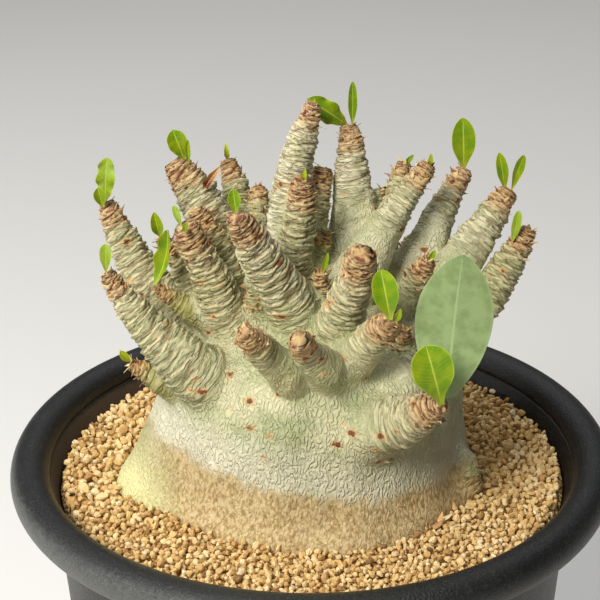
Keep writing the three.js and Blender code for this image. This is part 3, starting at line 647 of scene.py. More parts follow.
def bark_finish(colours):
    """Living bark: grey-green skin mottled with cream and olive, a whitish band over a tan one round the
    foot of the caudex, cream lips and brown creases at the leaf scars, brown tips, rusty spots, and
    wrinkles in the relief: upright on the caudex, round the branches. The lower left of the caudex is
    painted paler as a highlight where the light falls, and the creases and the grooves of the wrinkles are
    darkened with painted shade."""
    f = Finish("bark_skin", Specular_IOR_Level=0.3)
    place = f.place()
    x, y, height = f.parts(place)
    lip, crease, tip = f.mark("lip"), f.mark("crease"), f.mark("tip")
    olive, chalk, scarred, run = f.mark("olive"), f.mark("chalk"), f.mark("scarred"), f.mark("run")

    broad = f.noise(place, 16, 4, 0.6)
    middle = f.noise(place, 5, 4, 0.6)
    fine = f.noise(place, 1.3, 3, 0.6)
    skin = f.mix(broad.step(0.4, 0.62), colours.bark_green, colours.bark_cream)
    skin = f.mix(middle.step(0.5, 0.72) * 0.6, skin, colours.bark_green)
    skin = f.mix(middle.step(0.5, 0.3) * 0.6, skin, colours.bark_cream)
    skin = f.mix((olive * (0.55 + middle * 0.5)).clamped(), skin, colours.bark_olive)
    skin = f.mix(chalk * middle.step(0.35, 0.6), skin, colours.bark_chalk)

    # bands round the foot of the caudex, their edges worn by noise; on the left the whitish band is made
    # whiter and the tan one fainter, as painted highlight where the light falls on that side
    worn = height + x * 0.1 + (broad - 0.5) * 12 + (middle - 0.5) * 7
    whitish = worn.step(164, 151) * worn.step(142, 147)
    skin = f.mix(whitish * (0.7 + x.step(0, -30) * 0.28), skin, colours.bark_chalk)
    stained = worn.step(148.5, 143) * (1 - x.step(-34, -50) * 0.6)
    flecked = f.noise(f.stretched(place, (1.0, 1.0, 0.6)), 1.0, 2, 0.6)
    skin = f.mix(stained * (0.55 + middle * 0.5), skin, colours.bark_tan)
    skin = f.mix(stained * flecked.step(0.46, 0.58) * 0.6, skin, colours.scar_cream)
    skin = f.mix(stained * flecked.step(0.46, 0.34) * 0.5, skin, colours.brown_and_crease_shade)
    skin = f.mix(stained * olive * 0.8, skin, colours.bark_yellow_and_highlight)
    # painted highlight: the lower left of the caudex, where the light falls, is painted pale yellow
    painted_highlight = x.step(-36, -52) * height.step(150, 134)
    skin = f.mix(painted_highlight * 0.75, skin, colours.bark_yellow_and_highlight)

    # wrinkles: grooves where a slow noise crosses its middle, longer up the caudex and, on a
    # branch, longer round it
    warped = f.shifted(place, f.noise(place, 5, 2, 0.5, output="Color"), 3)
    upright = abs(f.noise(f.stretched(warped, (1.0, 1.0, 0.45)), 1.1, 1, 0.4) - 0.5).step(0, 0.17)
    upright = upright + (1 - upright) * stained * 0.55
    girdle = f.node("ShaderNodeCombineXYZ", {}, {0: x * 0.4, 1: y * 0.4, 2: run * 1.5})
    round_it = abs(f.noise(girdle, 1.9, 2, 0.5) - 0.5).step(0, 0.09)
    ridge = upright + (round_it - upright) * scarred
    grain = f.noise(place, 0.55, 2, 0.6)
    # painted shade: the grooves of the wrinkles are darkened
    skin = f.mix((1 - ridge) * (0.02 + 0.2 * fine + 0.2 * scarred), skin, colours.bark_shade)
    skin = f.mix(ridge * grain.step(0.5, 0.75) * 0.35, skin, colours.bark_chalk)

    # leaf scars
    tipped = (tip + (middle - 0.5) * 0.9 + (fine - 0.5) * 0.3).step(0.35, 0.95)
    skin = f.mix(tipped * 0.75, skin, colours.tip_brown)
    skin = f.mix((lip * (0.35 + 0.7 * fine)).clamped(), skin, colours.scar_cream)
    skin = f.mix(tipped * fine.step(0.55, 0.7) * 0.5, skin, colours.scar_cream)
    # the creases between the scars are darkened brown, and red-brown near the tip: partly their own colour,
    # partly painted shade
    skin = f.mix((crease * (0.35 + 0.8 * fine)).clamped(), skin, colours.brown_and_crease_shade)
    skin = f.mix(((crease * 0.9 + 0.1) * tipped).clamped(), skin, colours.scale_brown)
    skin = f.mix((tip + (fine - 0.5) * 0.4).step(0.98, 1.1) * 0.8, skin, colours.scale_brown)

    # rusty spots, few and small, with a paler halo
    spot = f.cells(f.stretched(place, (0.75, 0.75, 1.2)), 6.2) + (fine - 0.5) * 0.3
    rare = (f.noise(place, 14, 1) + x.step(-8, 20) * 0.07).step(0.47, 0.56) * height.step(150, 156)
    skin = f.mix(spot.step(0.3, 0.18) * rare * 0.6, skin, colours.tip_brown)
    skin = f.mix(spot.step(0.17, 0.1) * rare * 0.9, skin, colours.scale_brown)

    relief = f.bump(ridge, 0.3, 1.0)
    relief = f.bump(grain, 0.16, 0.8, relief)
    return f.finish(Base_Color=skin, Normal=relief, Roughness=0.5 + middle * 0.3)


def scale_finish(colours):
    """Dried scales: thin papery flakes from rust to straw, a tone of their own each."""
    f = Finish("dried_scale", Roughness=0.7)
    place = f.place()
    tone = f.mark("tone")
    grain = f.noise(f.stretched(place, (1, 1, 0.4)), 0.5, 2)
    colour = f.ramp((tone + (grain - 0.5) * 0.3).clamped(), [
        (0.0, colours.scale_brown), (0.4, colours.tip_brown),
        (0.75, colours.scar_cream), (1.0, colours.bark_olive)])
    return f.finish(Base_Color=colour, Normal=f.bump(grain, 0.15, 0.7))


def leaf_finish(name, blade, rib, shade, gloss, rib_width):
    """A leaf: its green paler at the foot and edge, a pale midrib with fine side veins that lean
    towards the tip, soft blotches, and the veins in the relief too."""
    f = Finish(name, Roughness=gloss, Specular_IOR_Level=0.3, Subsurface_Weight=0.12,
               Subsurface_Scale=0.002)
    coordinates = f.node("ShaderNodeUVMap", {"uv_map": "UVMap"}, {})
    across, along, _ = f.parts(coordinates)
    place = f.place()
    off = abs(across - 0.5) * 2
    blotch = f.noise(place, 4, 3)
    vein_run = (along * 1.0 - off * 0.16 + (blotch - 0.5) * 0.02) * 17
    vein = abs((vein_run * math.pi).sine()).step(0.22, 0.0) * off.step(0.95, 0.7)
    midrib = (off * (1 + along * 1.5)).step(rib_width, rib_width * 0.4)
    colour = f.mix(blotch.step(0.35, 0.7), blade, shade)
    colour = f.mix(vein * 0.4, colour, rib)
    colour = f.mix(along.step(0.28, 0.0) * 0.7, colour, rib)
    colour = f.mix(off.step(0.9, 1.0) * 0.6, colour, rib)
    colour = f.mix(midrib * 0.85, colour, rib)
    relief = f.bump(vein, 0.12, 0.5)
    relief = f.bump(blotch, 0.3, 0.3, relief)
    return f.finish(Base_Color=colour, Normal=relief, Roughness=gloss + blotch * 0.12)


def leaf_looks(colours):
    """For each kind of leaf: its blade, rib and shade, its roughness and how wide its rib is."""
    rib = colours.rib_pale
    return {
        "lime": (colours.leaf_lime, rib, colours.leaf_green, 0.36, 0.15),
        "pale": (colours.leaf_pale, rib, colours.leaf_lime, 0.42, 0.15),
        "green": (colours.leaf_green, rib, colours.leaf_lime, 0.34, 0.15),
        "spoon": (colours.leaf_lime, rib, colours.leaf_green, 0.4, 0.12),
        "dried": (colours.scale_brown, colours.scar_cream, colours.tip_brown, 0.75, 0.15),
        # the leaf behind the branches is painted a darker green as shade
        "dark": (colours.leaf_painted_shade, rib, colours.leaf_green, 0.4, 0.15),
        "yellow": (colours.leaf_yellow, rib, colours.leaf_lime, 0.45, 0.2),
        "glaucous": (colours.leaf_glaucous, colours.rib_glaucous, colours.leaf_shade, 0.55, 0.08),
    }


def grain_finish(colours):
    """Dry baked clay grains: orange-tan, each with a tone of its own, paler where worn, with
    fine pits in the relief."""
    f = Finish("grit_grain", Roughness=0.92, Specular_IOR_Level=0.2)
    place = f.place()
    tone = f.mark("tone")
    dust = f.noise(place, 1.2, 3)
    pits = f.noise(place, 0.35, 2)
    colour = f.ramp(tone, [
        (0.0, colours.grit_brown_and_gap_shade), (0.12, colours.grit_dark), (0.45, colours.grit_tan),
        (0.8, colours.grit_pale), (1.0, colours.grit_white)])
    colour = f.mix(dust.step(0.5, 0.75) * 0.3, colour, colours.grit_pale)
    colour = f.mix(pits.step(0.42, 0.3) * 0.45, colour, colours.grit_dark)
    relief = f.bump(pits, 0.18, 0.8)
    relief = f.bump(dust, 0.3, 0.5, relief)
    return f.finish(Base_Color=colour, Normal=relief)


def bed_finish(colours):
    """The bed under the loose grains: the same clay in shade, in small packed cells, with painted shade
    darkening the gaps at their edges.
    """
    f = Finish("packed_grit", Roughness=0.95, Specular_IOR_Level=0.1)
    place = f.place()
    cell = f.cells(place, 2.6, "DISTANCE_TO_EDGE")
    tone = f.cells(place, 2.6, output="Color")
    colour = f.mix(f.parts(tone)[0], colours.grit_dark, colours.grit_tan)
    # painted shade: the gaps at the cells' edges are darkened
    colour = f.mix(cell.step(0.14, 0.02), colour, colours.grit_brown_and_gap_shade)
    return f.finish(Base_Color=colour, Normal=f.bump(cell.step(0.0, 0.3), 0.9, 0.9))


def pot_finish(colours):
    """Black moulded plastic: a fine leathery grain, grey flecks where it is rubbed, clay dust on the inner
    band above the grit, a satin sheen, and a painted sheen: a pale band down the outer face of the roll,
    strongest on the left, that stands in for light shining back from it."""
    f = Finish("moulded_pot", Specular_IOR_Level=0.5)
    place = f.place()
    x, y, height = f.parts(place)
    grain = f.cells(place, 0.9)
    leather = f.noise(place, 1.6, 4, 0.65)
    broad = f.noise(place, 22, 3)
    fleck = f.noise(place, 0.55, 3, 0.7)
    radius = (x * x + y * y) ** 0.5
    colour = f.mix(fleck.step(0.55, 0.7) * 0.36, colours.pot_black, colours.pot_grey)
    colour = f.mix(broad.step(0.45, 0.7) * 0.3, colour, colours.pot_worn)
    # painted sheen: the outer face of the roll is painted pale on the left and front, as light shining back
    # from it
    rubbed = (radius + (leather - 0.5) * 3).step(87.4, 90.6) * x.step(60, -30)
    colour = f.mix(rubbed * (0.05 + fleck * 0.6), colour, colours.pot_painted_sheen)
    inside = radius.step(78.3, 77.7) * height.step(125.5, 127.5)
    dirt = (height + (leather - 0.5) * 7 + x * 0.06 + y * 0.03).step(133, 129.5) * inside
    colour = f.mix(dirt * 0.6, colour, colours.grit_dirt)
    relief = f.bump(grain, 0.14, 0.5)
    relief = f.bump(fleck, 0.3, 0.8, relief)
    gloss = 0.3 + leather * 0.14 + broad * 0.1 + dirt * 0.35
    return f.finish(Base_Color=colour, Normal=relief, Roughness=gloss)


def mesh_finish(colours):
    """Dark moulded mesh, a little dusty."""
    f = Finish("moulded_mesh")
    place = f.place()
    dust = f.noise(place, 3, 4)
    colour = f.mix(dust.step(0.5, 0.75) * 0.5, colours.pot_black, colours.grit_dirt)
    return f.finish(Base_Color=colour, Normal=f.bump(dust, 0.2, 0.5), Roughness=0.5 + dust * 0.2)


def floor_finish(colours):
    """A plain pale floor with the faintest unevenness of plaster."""
    f = Finish("pale_floor")
    place = f.place()
    cloud = f.noise(place, 400, 3)
    colour = f.mix(cloud, colours.floor, tuple(c * 0.96 for c in colours.floor))
    return f.finish(Base_Color=colour, Roughness=0.85 + cloud * 0.05)

# ---------------------------------------------------------------- shapes of the pot


def rounded_outline(corners, steps=5):
    """A closed outline whose corners (x, z, radius) are rounded by arcs that run into both of
    their sides smoothly."""
    points = np.array([corner[:2] for corner in corners], float)
    outline = []
    for i, (_x, _z, radius) in enumerate(corners):
        corner = points[i]
        back, ahead = unit(points[i - 1] - corner), unit(points[(i + 1) % len(points)] - corner)
        if radius <= 0:
            outline.append(corner)
            continue
        half = math.acos(float(np.clip(back @ ahead, -1, 1))) / 2
        reach = radius / math.tan(half)
        centre = corner + unit(back + ahead) * (radius / math.sin(half))
        start, end = corner + back * reach - centre, corner + ahead * reach - centre
        sweep = math.pi - 2 * half
        for t in np.linspace(0, 1, steps):
            mixed = (start * math.sin((1 - t) * sweep) + end * math.sin(t * sweep)) / math.sin(sweep)
            outline.append(centre + mixed)
    return np.array(outline)


def turned_loop(outline, columns):
    """A closed outline of (radius, height) carried round the Z axis: x = radius cos(turn),
    y = radius sin(turn), z = height. Rows follow the outline."""
    turn = np.linspace(0, 2 * math.pi, columns, endpoint=False)
    x = outline[:, :1] * np.cos(turn)
    y = outline[:, :1] * np.sin(turn)
    z = np.broadcast_to(outline[:, 1:], x.shape)
    return np.stack([x, y, z], -1), turn


def loop_quads(rows, columns):
    """Quads of a grid that closes on itself both ways. They face out of an outline that is
    carried round the Z axis when it runs anticlockwise as (radius, height)."""
    row, column = np.meshgrid(np.arange(rows), np.arange(columns), indexing="ij")
    below, after = (row + 1) % rows, (column + 1) % columns
    quads = [row * columns + column, row * columns + after,
             below * columns + after, below * columns + column]
    return np.stack(quads, -1).reshape(-1, 4)


def pot_outline(sizes):
    """The pot's section: a tapered wall on a foot ring, under a rolled rim whose inner side has a
    sharp parting groove before the inner wall."""
    roll = sizes.roll_radius / MM
    wall = sizes.wall / MM
    middle, height = POT_RADIUS - roll, POT_HEIGHT - roll
    neck, foot = sizes.neck_radius / MM, sizes.foot_radius / MM
    neck_height = sizes.neck_height / MM
    floor_low, floor_top = sizes.foot_height / MM, (sizes.foot_height + sizes.floor) / MM
    drain = sizes.drain_radius / MM
    roll_start = (middle + roll * math.cos(math.radians(ROLL_TURNS[0])),
                  height + roll * math.sin(math.radians(ROLL_TURNS[0])))

    def wall_at(z):
        """Outer radius of the tapered wall at a height."""
        return foot + (neck - foot) * z / neck_height

    base = rounded_outline([
        (drain, floor_top, 0.6), (drain, floor_low, 0.6), (foot - 6.5, floor_low, 0.6),
        (foot - 5.9, 0, 0.5), (foot - 0.2, 0, 1.2), (neck, neck_height, 1.5),
        (*roll_start, 0),
        (middle - roll + 0.9, height + 0.1, 0), (middle - roll - 0.2, height - 0.3, 0.15),
        (wall_at(GRIT_TOP) - wall, GRIT_TOP - 1, 2.0), (wall_at(floor_top) - wall, floor_top, 1.0),
    ])
    at = int(np.argmin(np.abs(base - roll_start).sum(1)))
    turn = np.radians(np.linspace(*ROLL_TURNS, ROLL_POINTS))
    arc = np.stack([middle + roll * np.cos(turn), height + roll * np.sin(turn)], -1)
    return divided(np.vstack([base[:at], arc, base[at + 1:]]), WALL_ROW)


def divided(outline, most):
    """A closed outline whose straight runs longer than `most` are cut into even parts."""
    parts = []
    for start, end in zip(outline, np.roll(outline, -1, axis=0)):
        count = max(1, math.ceil(float(np.linalg.norm(end - start)) / most))
        share = np.arange(count)[:, None] / count
        parts.append(start + (end - start) * share)
    return np.vstack(parts)


# ---------------------------------------------------------------- shapes of the plant


def scars(turn, from_tip, skin, seed):
    """Leaf scars as cells round points on a spiral of 137.5 degrees a step, closer together
    towards the tip. Each place belongs to the scar that is nearest when a step along the branch
    counts more than a radian round it, so that a scar is a wide low crescent. Returns the
    swelling of the cell, its lip on the side of the tip and the crease between."""
    rng = np.random.default_rng(seed)
    reach = np.linspace(-8, 90, 800)
    rise = 0.42 + 0.7 * (1 - np.exp(-np.clip(reach + 1, 0, None) / 7))
    count = np.cumsum((reach[1] - reach[0]) / rise)
    steps = np.interp(from_tip, reach, count) - np.interp(0, reach, count)
    steps = steps[:, None] + 0.4 * waves(skin, 5, seed + 5) + 0.14 * waves(skin, 1.7, seed + 6)
    turn = turn + 0.3 * waves(skin, 6, seed + 7)
    most, before_tip = 400, 40
    jitter_turn = rng.uniform(-0.5, 0.5, most)
    jitter_step = rng.uniform(-0.45, 0.45, most)
    stature = rng.uniform(0.55, 1.45, most)
    nearest = np.full(steps.shape, 1e9)
    second = np.full(steps.shape, 1e9)
    lean = np.zeros(steps.shape)
    tall = np.ones(steps.shape)
    base = np.round(steps).astype(int)
    for k in range(-4, 5):
        n = base + k
        i = np.clip(n + before_tip, 0, most - 1)
        away = turn - n * GOLDEN_TURN - jitter_turn[i]
        away = (away + math.pi) % (2 * math.pi) - math.pi
        ahead = (steps - n - jitter_step[i]) / 1.1
        gap = np.hypot(away / 2.0, ahead)
        closer = gap < nearest
        second = np.where(closer, nearest, np.minimum(second, gap))
        lean = np.where(closer, ahead, lean)
        tall = np.where(closer, stature[i], tall)
        nearest = np.where(closer, gap, nearest)
    border = second - nearest
    swelling = tall * smoothstep(0, 0.6, border) * (0.62 - 0.38 * np.clip(lean / 0.9, -1, 1))
    lip = smoothstep(0.1, -0.45, lean) * smoothstep(0.1, 0.4, border)
    crease = 1 - smoothstep(0.05, 0.36, border)
    return swelling, lip, crease


def branch_skin(limb, row, sizes, seed):
    """A branch's skin: rings round its axis whose radius follows the taper, closed by a dome at
    the tip, melted into the caudex at its foot, then raised by its leaf scars."""
    _name, tip, _mid, foot, radii, olive, chalk, rings, _scales = row
    line = spline(np.column_stack([limb.axis, limb.radius]), LIMB_SAMPLES)
    run = lengths_along(line[:, :3])
    total = run[-1]
    start = total - np.linalg.norm(np.subtract(tip, foot)) - 7
    step = sizes.ring_step / MM
    places = np.concatenate([np.linspace(0.5, start, 6, endpoint=False),
                             np.arange(start, total, step)])
    axis = np.stack([np.interp(places, run, line[:, i]) for i in range(3)], -1)
    radius = np.interp(places, run, line[:, 3])
    dome = np.radians(np.linspace(6, 86, 13))
    along_end = unit(axis[-1] - axis[-3])
    low = radii[0] * 0.75
    axis = np.vstack([axis, axis[-1] + along_end * (low * np.sin(dome))[:, None]])
    radius = np.concatenate([radius, radius[-1] * np.cos(dome) ** 0.85])
    places = np.concatenate([places, places[-1] + dome * (low + radii[0]) / 2])
    from_tip = total - places

    start_side = np.cross(unit(np.subtract(tip, foot)), (0.3, 1, 0.1))
    _along, across, other = carried_frame(axis, start_side)
    columns = sizes.columns
    turn = np.linspace(0, 2 * math.pi, columns, endpoint=False)[None, :]
    outward = across[:, None] * np.cos(turn)[..., None] + other[:, None] * np.sin(turn)[..., None]
    skin = axis[:, None] + outward * radius[:, None, None]

    bodies = [TRUNK, limb] + [b for b in LIMBS.values() if b is not limb and b.near(limb, 4)]
    shape = skin.shape
    flat, under = fitted(skin.reshape(-1, 3), outward.reshape(-1, 3), bodies, 1,
                         sizes.melt / MM, SKIN_REACH)
    skin, under = flat.reshape(shape), under.reshape(shape[:2])
    skin = skin + outward * lumps(skin, sizes.lump / MM)[..., None]

    swelling, lip, crease = scars(turn, from_tip, skin, seed)
    length = total - start
    share = np.clip(from_tip / length, 0, 1)[:, None]
    shown = smoothstep(0.5, -3.5, under)
    kept = smoothstep(0.6, 1.0, rings)
    worn = (1 - (0.9 - 0.4 * kept) * smoothstep(0.18 + 0.25 * kept, 0.6 + 0.35 * kept, share)) * shown
    ragged = 0.7 + 0.5 * waves(skin, 1.6, seed + 1)
    height = sizes.scar_height / MM * (0.55 + 0.45 * rings) * worn
    young = 0.6 + 0.4 * smoothstep(-radii[0], 4, from_tip)[:, None]
    raised = height * young * (0.62 * swelling + 0.3 * lip * ragged - 0.35 * crease)
    raised = raised + (0.3 * waves(skin, 6, seed + 2) + 0.08 * waves(skin, 1.3, seed + 3)) * shown
    skin = skin + outward * raised[..., None]
    strength = worn * min(1, rings + 0.15)
    marks = {
        "lip": np.clip(lip * strength * ragged, 0, 1),
        "crease": crease * strength,
        "tip": smoothstep(min(13, length * 0.4), 0, from_tip)[:, None] * shown,
        "olive": olive * shown,
        "chalk": chalk * shown,
        "scarred": smoothstep(0.1, 0.5, worn),
        "run": from_tip[:, None] + 0 * shown,
    }
    end = axis[-1] + along_end * low * 0.02
    return skin, axis[0], end, marks


def root_skin(angle, far, low, seed):
    """A root's skin: rings of 24 points round a smooth axis that runs outwards and down, uneven
    by a noise, with the points that close it at its ends."""
    turn = math.radians(angle)
    way = np.array([math.cos(turn), math.sin(turn), 0])
    axis = spline([way * out + (0, 0, height) for out, height in (ROOT_START, ROOT_MIDDLE, (far, low))],
                  24)
    radii = np.interp(np.linspace(0, 3, 24), range(4), ROOT_RADII)
    along, across, other = carried_frame(axis, (0, 0, 1))
    turns = np.linspace(0, 2 * math.pi, 24, endpoint=False)[None, :, None]
    out = across[:, None] * np.cos(turns) + other[:, None] * np.sin(turns)
    rings = axis[:, None] + out * radii[:, None, None]
    rings = rings + out * (0.5 * waves(rings, 9, seed))[..., None]
    return rings, axis[0], axis[-1] + along[-1] * 1.5


def no_marks(count):
    """The bark's marks where there are no leaf scars: nought at every point."""
    return {name: np.zeros(count) for name in BARK_MARKS}


def flakes(placed):
    """Small thin scales. Each is a pointed plate: along its length t its half width follows an
    arch of a sine times (1 - 0.85 t^3). It is cupped round its midline by the square of the
    distance across, and curled outwards by t squared."""
    foot, up, out, length, width, curl = placed
    side = np.cross(up, out)
    t = np.linspace(0, 1, 5)[None, :, None]
    c = np.linspace(-1, 1, 4)[None, None, :]
    reach = length[:, None, None]
    half = width[:, None, None] * (0.25 + 0.75 * np.sin(np.pi * np.clip(t * 0.72 + 0.22, 0, 1)))
    x = c * half * (1 - 0.85 * t**3)
    y = curl[:, None, None] * reach * t**2 - 0.35 * half * c**2
    z = reach * t * (1 - 0.12 * c**2) + 0 * x
    face = (foot[:, None, None] + x[..., None] * side[:, None, None]
            + y[..., None] * out[:, None, None] + z[..., None] * up[:, None, None])
    return face, face - out[:, None, None] * 0.16


def many_plates(top, bottom):
    """Vertices and faces of a whole set of plates of one grid size."""
    one, faces = plate(top[0], bottom[0])
    count = len(one)
    vertices = np.concatenate([top.reshape(len(top), -1, 3), bottom.reshape(len(top), -1, 3)], 1)
    step = np.arange(len(top))[:, None, None] * count
    return vertices.reshape(-1, 3), [(part[None] + step).reshape(-1, 4) for part in faces]


def blade_half(t, widest, stalk, swell, tip):
    """Half width of a blade, as a share: it swells from its stalk as a power of a sine to the
    widest place, then closes as (1 - u^a)^b of the share u of the way left."""
    rising = stalk + (1 - stalk) * np.sin(np.pi / 2 * np.clip(t / widest, 0, 1)) ** swell
    falling = np.clip(1 - np.clip((t - widest) / (1 - widest), 0, 1) ** tip[0], 0, 1) ** tip[1]
    return np.where(t < widest, rising, falling)


def leaf_blade(row, seed):
    """A leaf's upper and lower grids: along its length t and across it c from -1 to 1, the point
    foot + t length + c half width, lifted towards its face by an arch of 4t(1 - t), by the fold
    |c|, and by a crinkle that grows towards the edge."""
    _name, foot, tip, width, arch, fold, crinkle, widest, face, kind = row
    rng = np.random.default_rng(seed)
    foot, tip = np.array(foot, float), np.array(tip, float)
    length = np.linalg.norm(tip - foot)
    along = unit(tip - foot)
    across = unit(np.cross(along, face))
    out = np.cross(across, along)
    t = (1 - np.cos(np.linspace(0, np.pi, 37))) / 2
    t = t[:, None] * 0.998 + 0.001
    c = np.sin(np.linspace(-np.pi / 2, np.pi / 2, 19))[None, :]
    swell, end = BLADE_SWELLS.get(kind, USUAL_SWELL), BLADE_TIPS.get(kind, USUAL_TIP)
    half = width / 2 * blade_half(t, widest, STALK_SHARE, swell, end)
    phase = rng.uniform(0, 6.28, 4)
    right_edge = np.sin(2 * np.pi * 2.6 * t + phase[0]) * (c > 0)
    left_edge = np.sin(2 * np.pi * 3.1 * t + phase[1]) * (c < 0)
    ripple = right_edge + left_edge
    puckers = np.sin(2 * np.pi * 5 * t + 3 * np.abs(c) + phase[2])
    lift = (arch * length * 4 * t * (1 - t) + fold * np.abs(c) ** 1.4 * half
            + crinkle * half * (0.22 * ripple * c**2 + 0.05 * puckers * np.abs(c)))
    side = c * half * (1 + crinkle * 0.06 * ripple)
    top = foot + along * (t * length)[..., None] + across * side[..., None] + out * lift[..., None]
    rib = np.exp(-(c / 0.13) ** 2) * (1 - 0.75 * t)
    thick = (0.16 + 0.2 * np.sqrt(np.clip(1 - c**2, 0, 1))) * min(1, width / 4) + 0.08
    bottom = top - out * (thick + rib * min(0.7, width * 0.09))[..., None]
    if kind == "glaucous":
        top, bottom = top + out * (rib * 0.55)[..., None], top - out * thick[..., None]
    uv = np.stack(np.broadcast_arrays((c + 1) / 2, t), -1)
    return top, bottom, uv


# ---------------------------------------------------------------- grit


def grain_template(cuts):
    """A ball made from a cube of `cuts` by `cuts` quads a side: its points, pushed out to length
    one, and its quads."""
    line = np.linspace(-1, 1, cuts + 1)
    u, v = np.meshgrid(line, line, indexing="ij")
    points, quads = [], []
    row, column = np.meshgrid(np.arange(cuts), np.arange(cuts), indexing="ij")
    a = (row * (cuts + 1) + column).ravel()
    quad = np.stack([a, a + cuts + 1, a + cuts + 2, a + 1], -1)
    for axis in range(3):
        for sign in (-1, 1):
            square = np.stack([np.full_like(u, sign), u, v], -1).reshape(-1, 3)
            square = np.roll(square, axis, axis=1)
            quads.append((quad if sign > 0 else quad[:, ::-1]) + len(points) * (cuts + 1) ** 2)
            points.append(square)
    points = np.concatenate(points)
    quads = np.concatenate(quads)
    rounded = np.round(points, 5)
    _, first, index = np.unique(rounded, axis=0, return_index=True, return_inverse=True)
    return unit(points[first]), index.ravel()[quads]


def grains(centres, sizes, cuts, seed, facets=8):
    """Grains at centres: each the ball cut by random planes, stretched unevenly and turned. A
    plane at depth d, square to n, leaves the surface no further than d / (n . p) along p."""
    rng = np.random.default_rng(seed)
    ball, quads = grain_template(cuts)
    count = len(centres)
    stretch = rng.uniform(0.7, 1.24, (count, 1, 3))
    turns = rng.normal(size=(count, 4))
    w, x, y, z = unit(turns).T
    matrix = np.stack([
        1 - 2 * (y * y + z * z), 2 * (x * y - z * w), 2 * (x * z + y * w),
        2 * (x * y + z * w), 1 - 2 * (x * x + z * z), 2 * (y * z - x * w),
        2 * (x * z - y * w), 2 * (y * z + x * w), 1 - 2 * (x * x + y * y)], -1).reshape(count, 3, 3)
    normals = unit(rng.normal(size=(count, facets, 3)))
    depths = rng.uniform(0.52, 0.88, (count, 1, facets))
    facing = np.einsum("vj,nkj->nvk", ball, normals)
    cut = np.where(facing > 0.05, depths / np.maximum(facing, 0.05), 9).min(-1)
    shape = ball[None] * np.minimum(cut, 1.12)[..., None] * stretch
    shape = np.einsum("nij,nvj->nvi", matrix, shape) * sizes[:, None, None]
    vertices = (shape + centres[:, None]).reshape(-1, 3)
    faces = (quads[None] + np.arange(count)[:, None, None] * len(ball)).reshape(-1, 4)
    tone = np.repeat(rng.beta(2.2, 2.2, count), len(ball))
    return vertices, faces, tone


def settled(places, sizes, floor, ceiling, tries, allowed, rng):
    """Grains let down one by one: each comes to rest on the highest grain it touches, at the
    lowest of a few nearby places, and is left out if it would stand over the ceiling. `allowed`
    says which spots a grain of some size may take. Grains are looked up by squares of a grid."""
    resting = np.zeros((len(places), 4))
    count = 0
    square = 2.2 * float(sizes.max())
    squares = {}
    for place, size in zip(places, sizes):
        column, row = (int(value // square) for value in place)
        near = [i for x in (-1, 0, 1) for y in (-1, 0, 1)
                for i in squares.get((column + x, row + y), ())]
        spots = place + rng.normal(0, size * 0.55, (tries, 2))
        there = resting[near]
        gap = np.hypot(spots[:, :1] - there[:, 0], spots[:, 1:] - there[:, 1])
        reach = (there[:, 3] + size) * 0.9
        over = there[:, 2] + np.sqrt(np.clip(reach**2 - gap**2, 0, None))
        height = np.where(gap < reach, over, floor).max(1, initial=floor)
        height = np.where(allowed(spots, size), height, 1e9)
        best = int(np.argmin(height))
        if height[best] <= ceiling:
            resting[count] = (*spots[best], height[best], size)
            at = (int(spots[best, 0] // square), int(spots[best, 1] // square))
            squares.setdefault(at, []).append(count)
            count += 1
    return resting[:count]


def tip_scales(limb, row, rng):
    """Where the dried scales of one branch stand: foot, up and outward directions, length, width
    and curl of each. Scale n stands n times 137.5 degrees round; the first ones close over the
    bud and the next ones follow down the side."""
    _name, tip, _mid, foot, radii, _olive, _chalk, _rings, thick = row
    count = 9 + int(15 * thick)
    n = np.arange(count)
    reach = np.linalg.norm(np.subtract(tip, foot))
    down = np.where(n < 7, n * 0.12, 0.9 + (n - 7) * 0.42) + rng.uniform(-0.1, 0.1, count)
    down = np.clip(down, 0, reach * 0.6)
    line = spline(np.column_stack([limb.axis, limb.radius]), LIMB_SAMPLES)
    run = lengths_along(line[:, :3])
    axis = np.stack([np.interp(run[-1] - down, run, line[:, i]) for i in range(3)], -1)
    radius = np.interp(run[-1] - down, run, line[:, 3])
    along = unit(line[-1, :3] - line[-12, :3])
    across = unit(np.cross(along, (0.2, 1, 0.1)))
    other = np.cross(along, across)
    turn = n * GOLDEN_TURN + rng.uniform(-0.4, 0.4, count)
    out = across * np.cos(turn)[:, None] + other * np.sin(turn)[:, None]
    inner = np.where(n < 7, 0.25 + n * 0.075, 1.0)
    base = axis + out * (radius * inner + 0.1)[:, None]
    base = base + along * np.where(n < 7, radii[0] * 0.42 * (1 - inner**2), 0)[:, None]
    lean = np.where(n < 7, rng.uniform(0.15, 0.7, count), rng.uniform(0.3, 1.1, count))
    up = unit(along + out * lean[:, None])
    outward = unit(out - along * lean[:, None])
    length = rng.uniform(0.9, 2.7, count) * (0.8 + 0.25 * min(thick, 1.6))
    width = rng.uniform(0.45, 1.05, count) * (0.8 + 0.3 * min(thick, 1.6))
    curl = rng.uniform(-0.15, 0.6, count)
    return base, up, outward, length, width, curl

# ---------------------------------------------------------------- what a user may change


def colour_of(name, about, *screen):
    """A colour to choose, given by its screen values."""
    return bpy.props.FloatVectorProperty(
        name=name, description=about, subtype="COLOR", size=3, min=0, max=1, default=srgb(*screen))


def length_of(name, about, millimetres):
    """A length to choose."""
    return bpy.props.FloatProperty(
        name=name, description=about, default=millimetres * MM, min=0, precision=4,
        subtype="DISTANCE", unit="LENGTH")


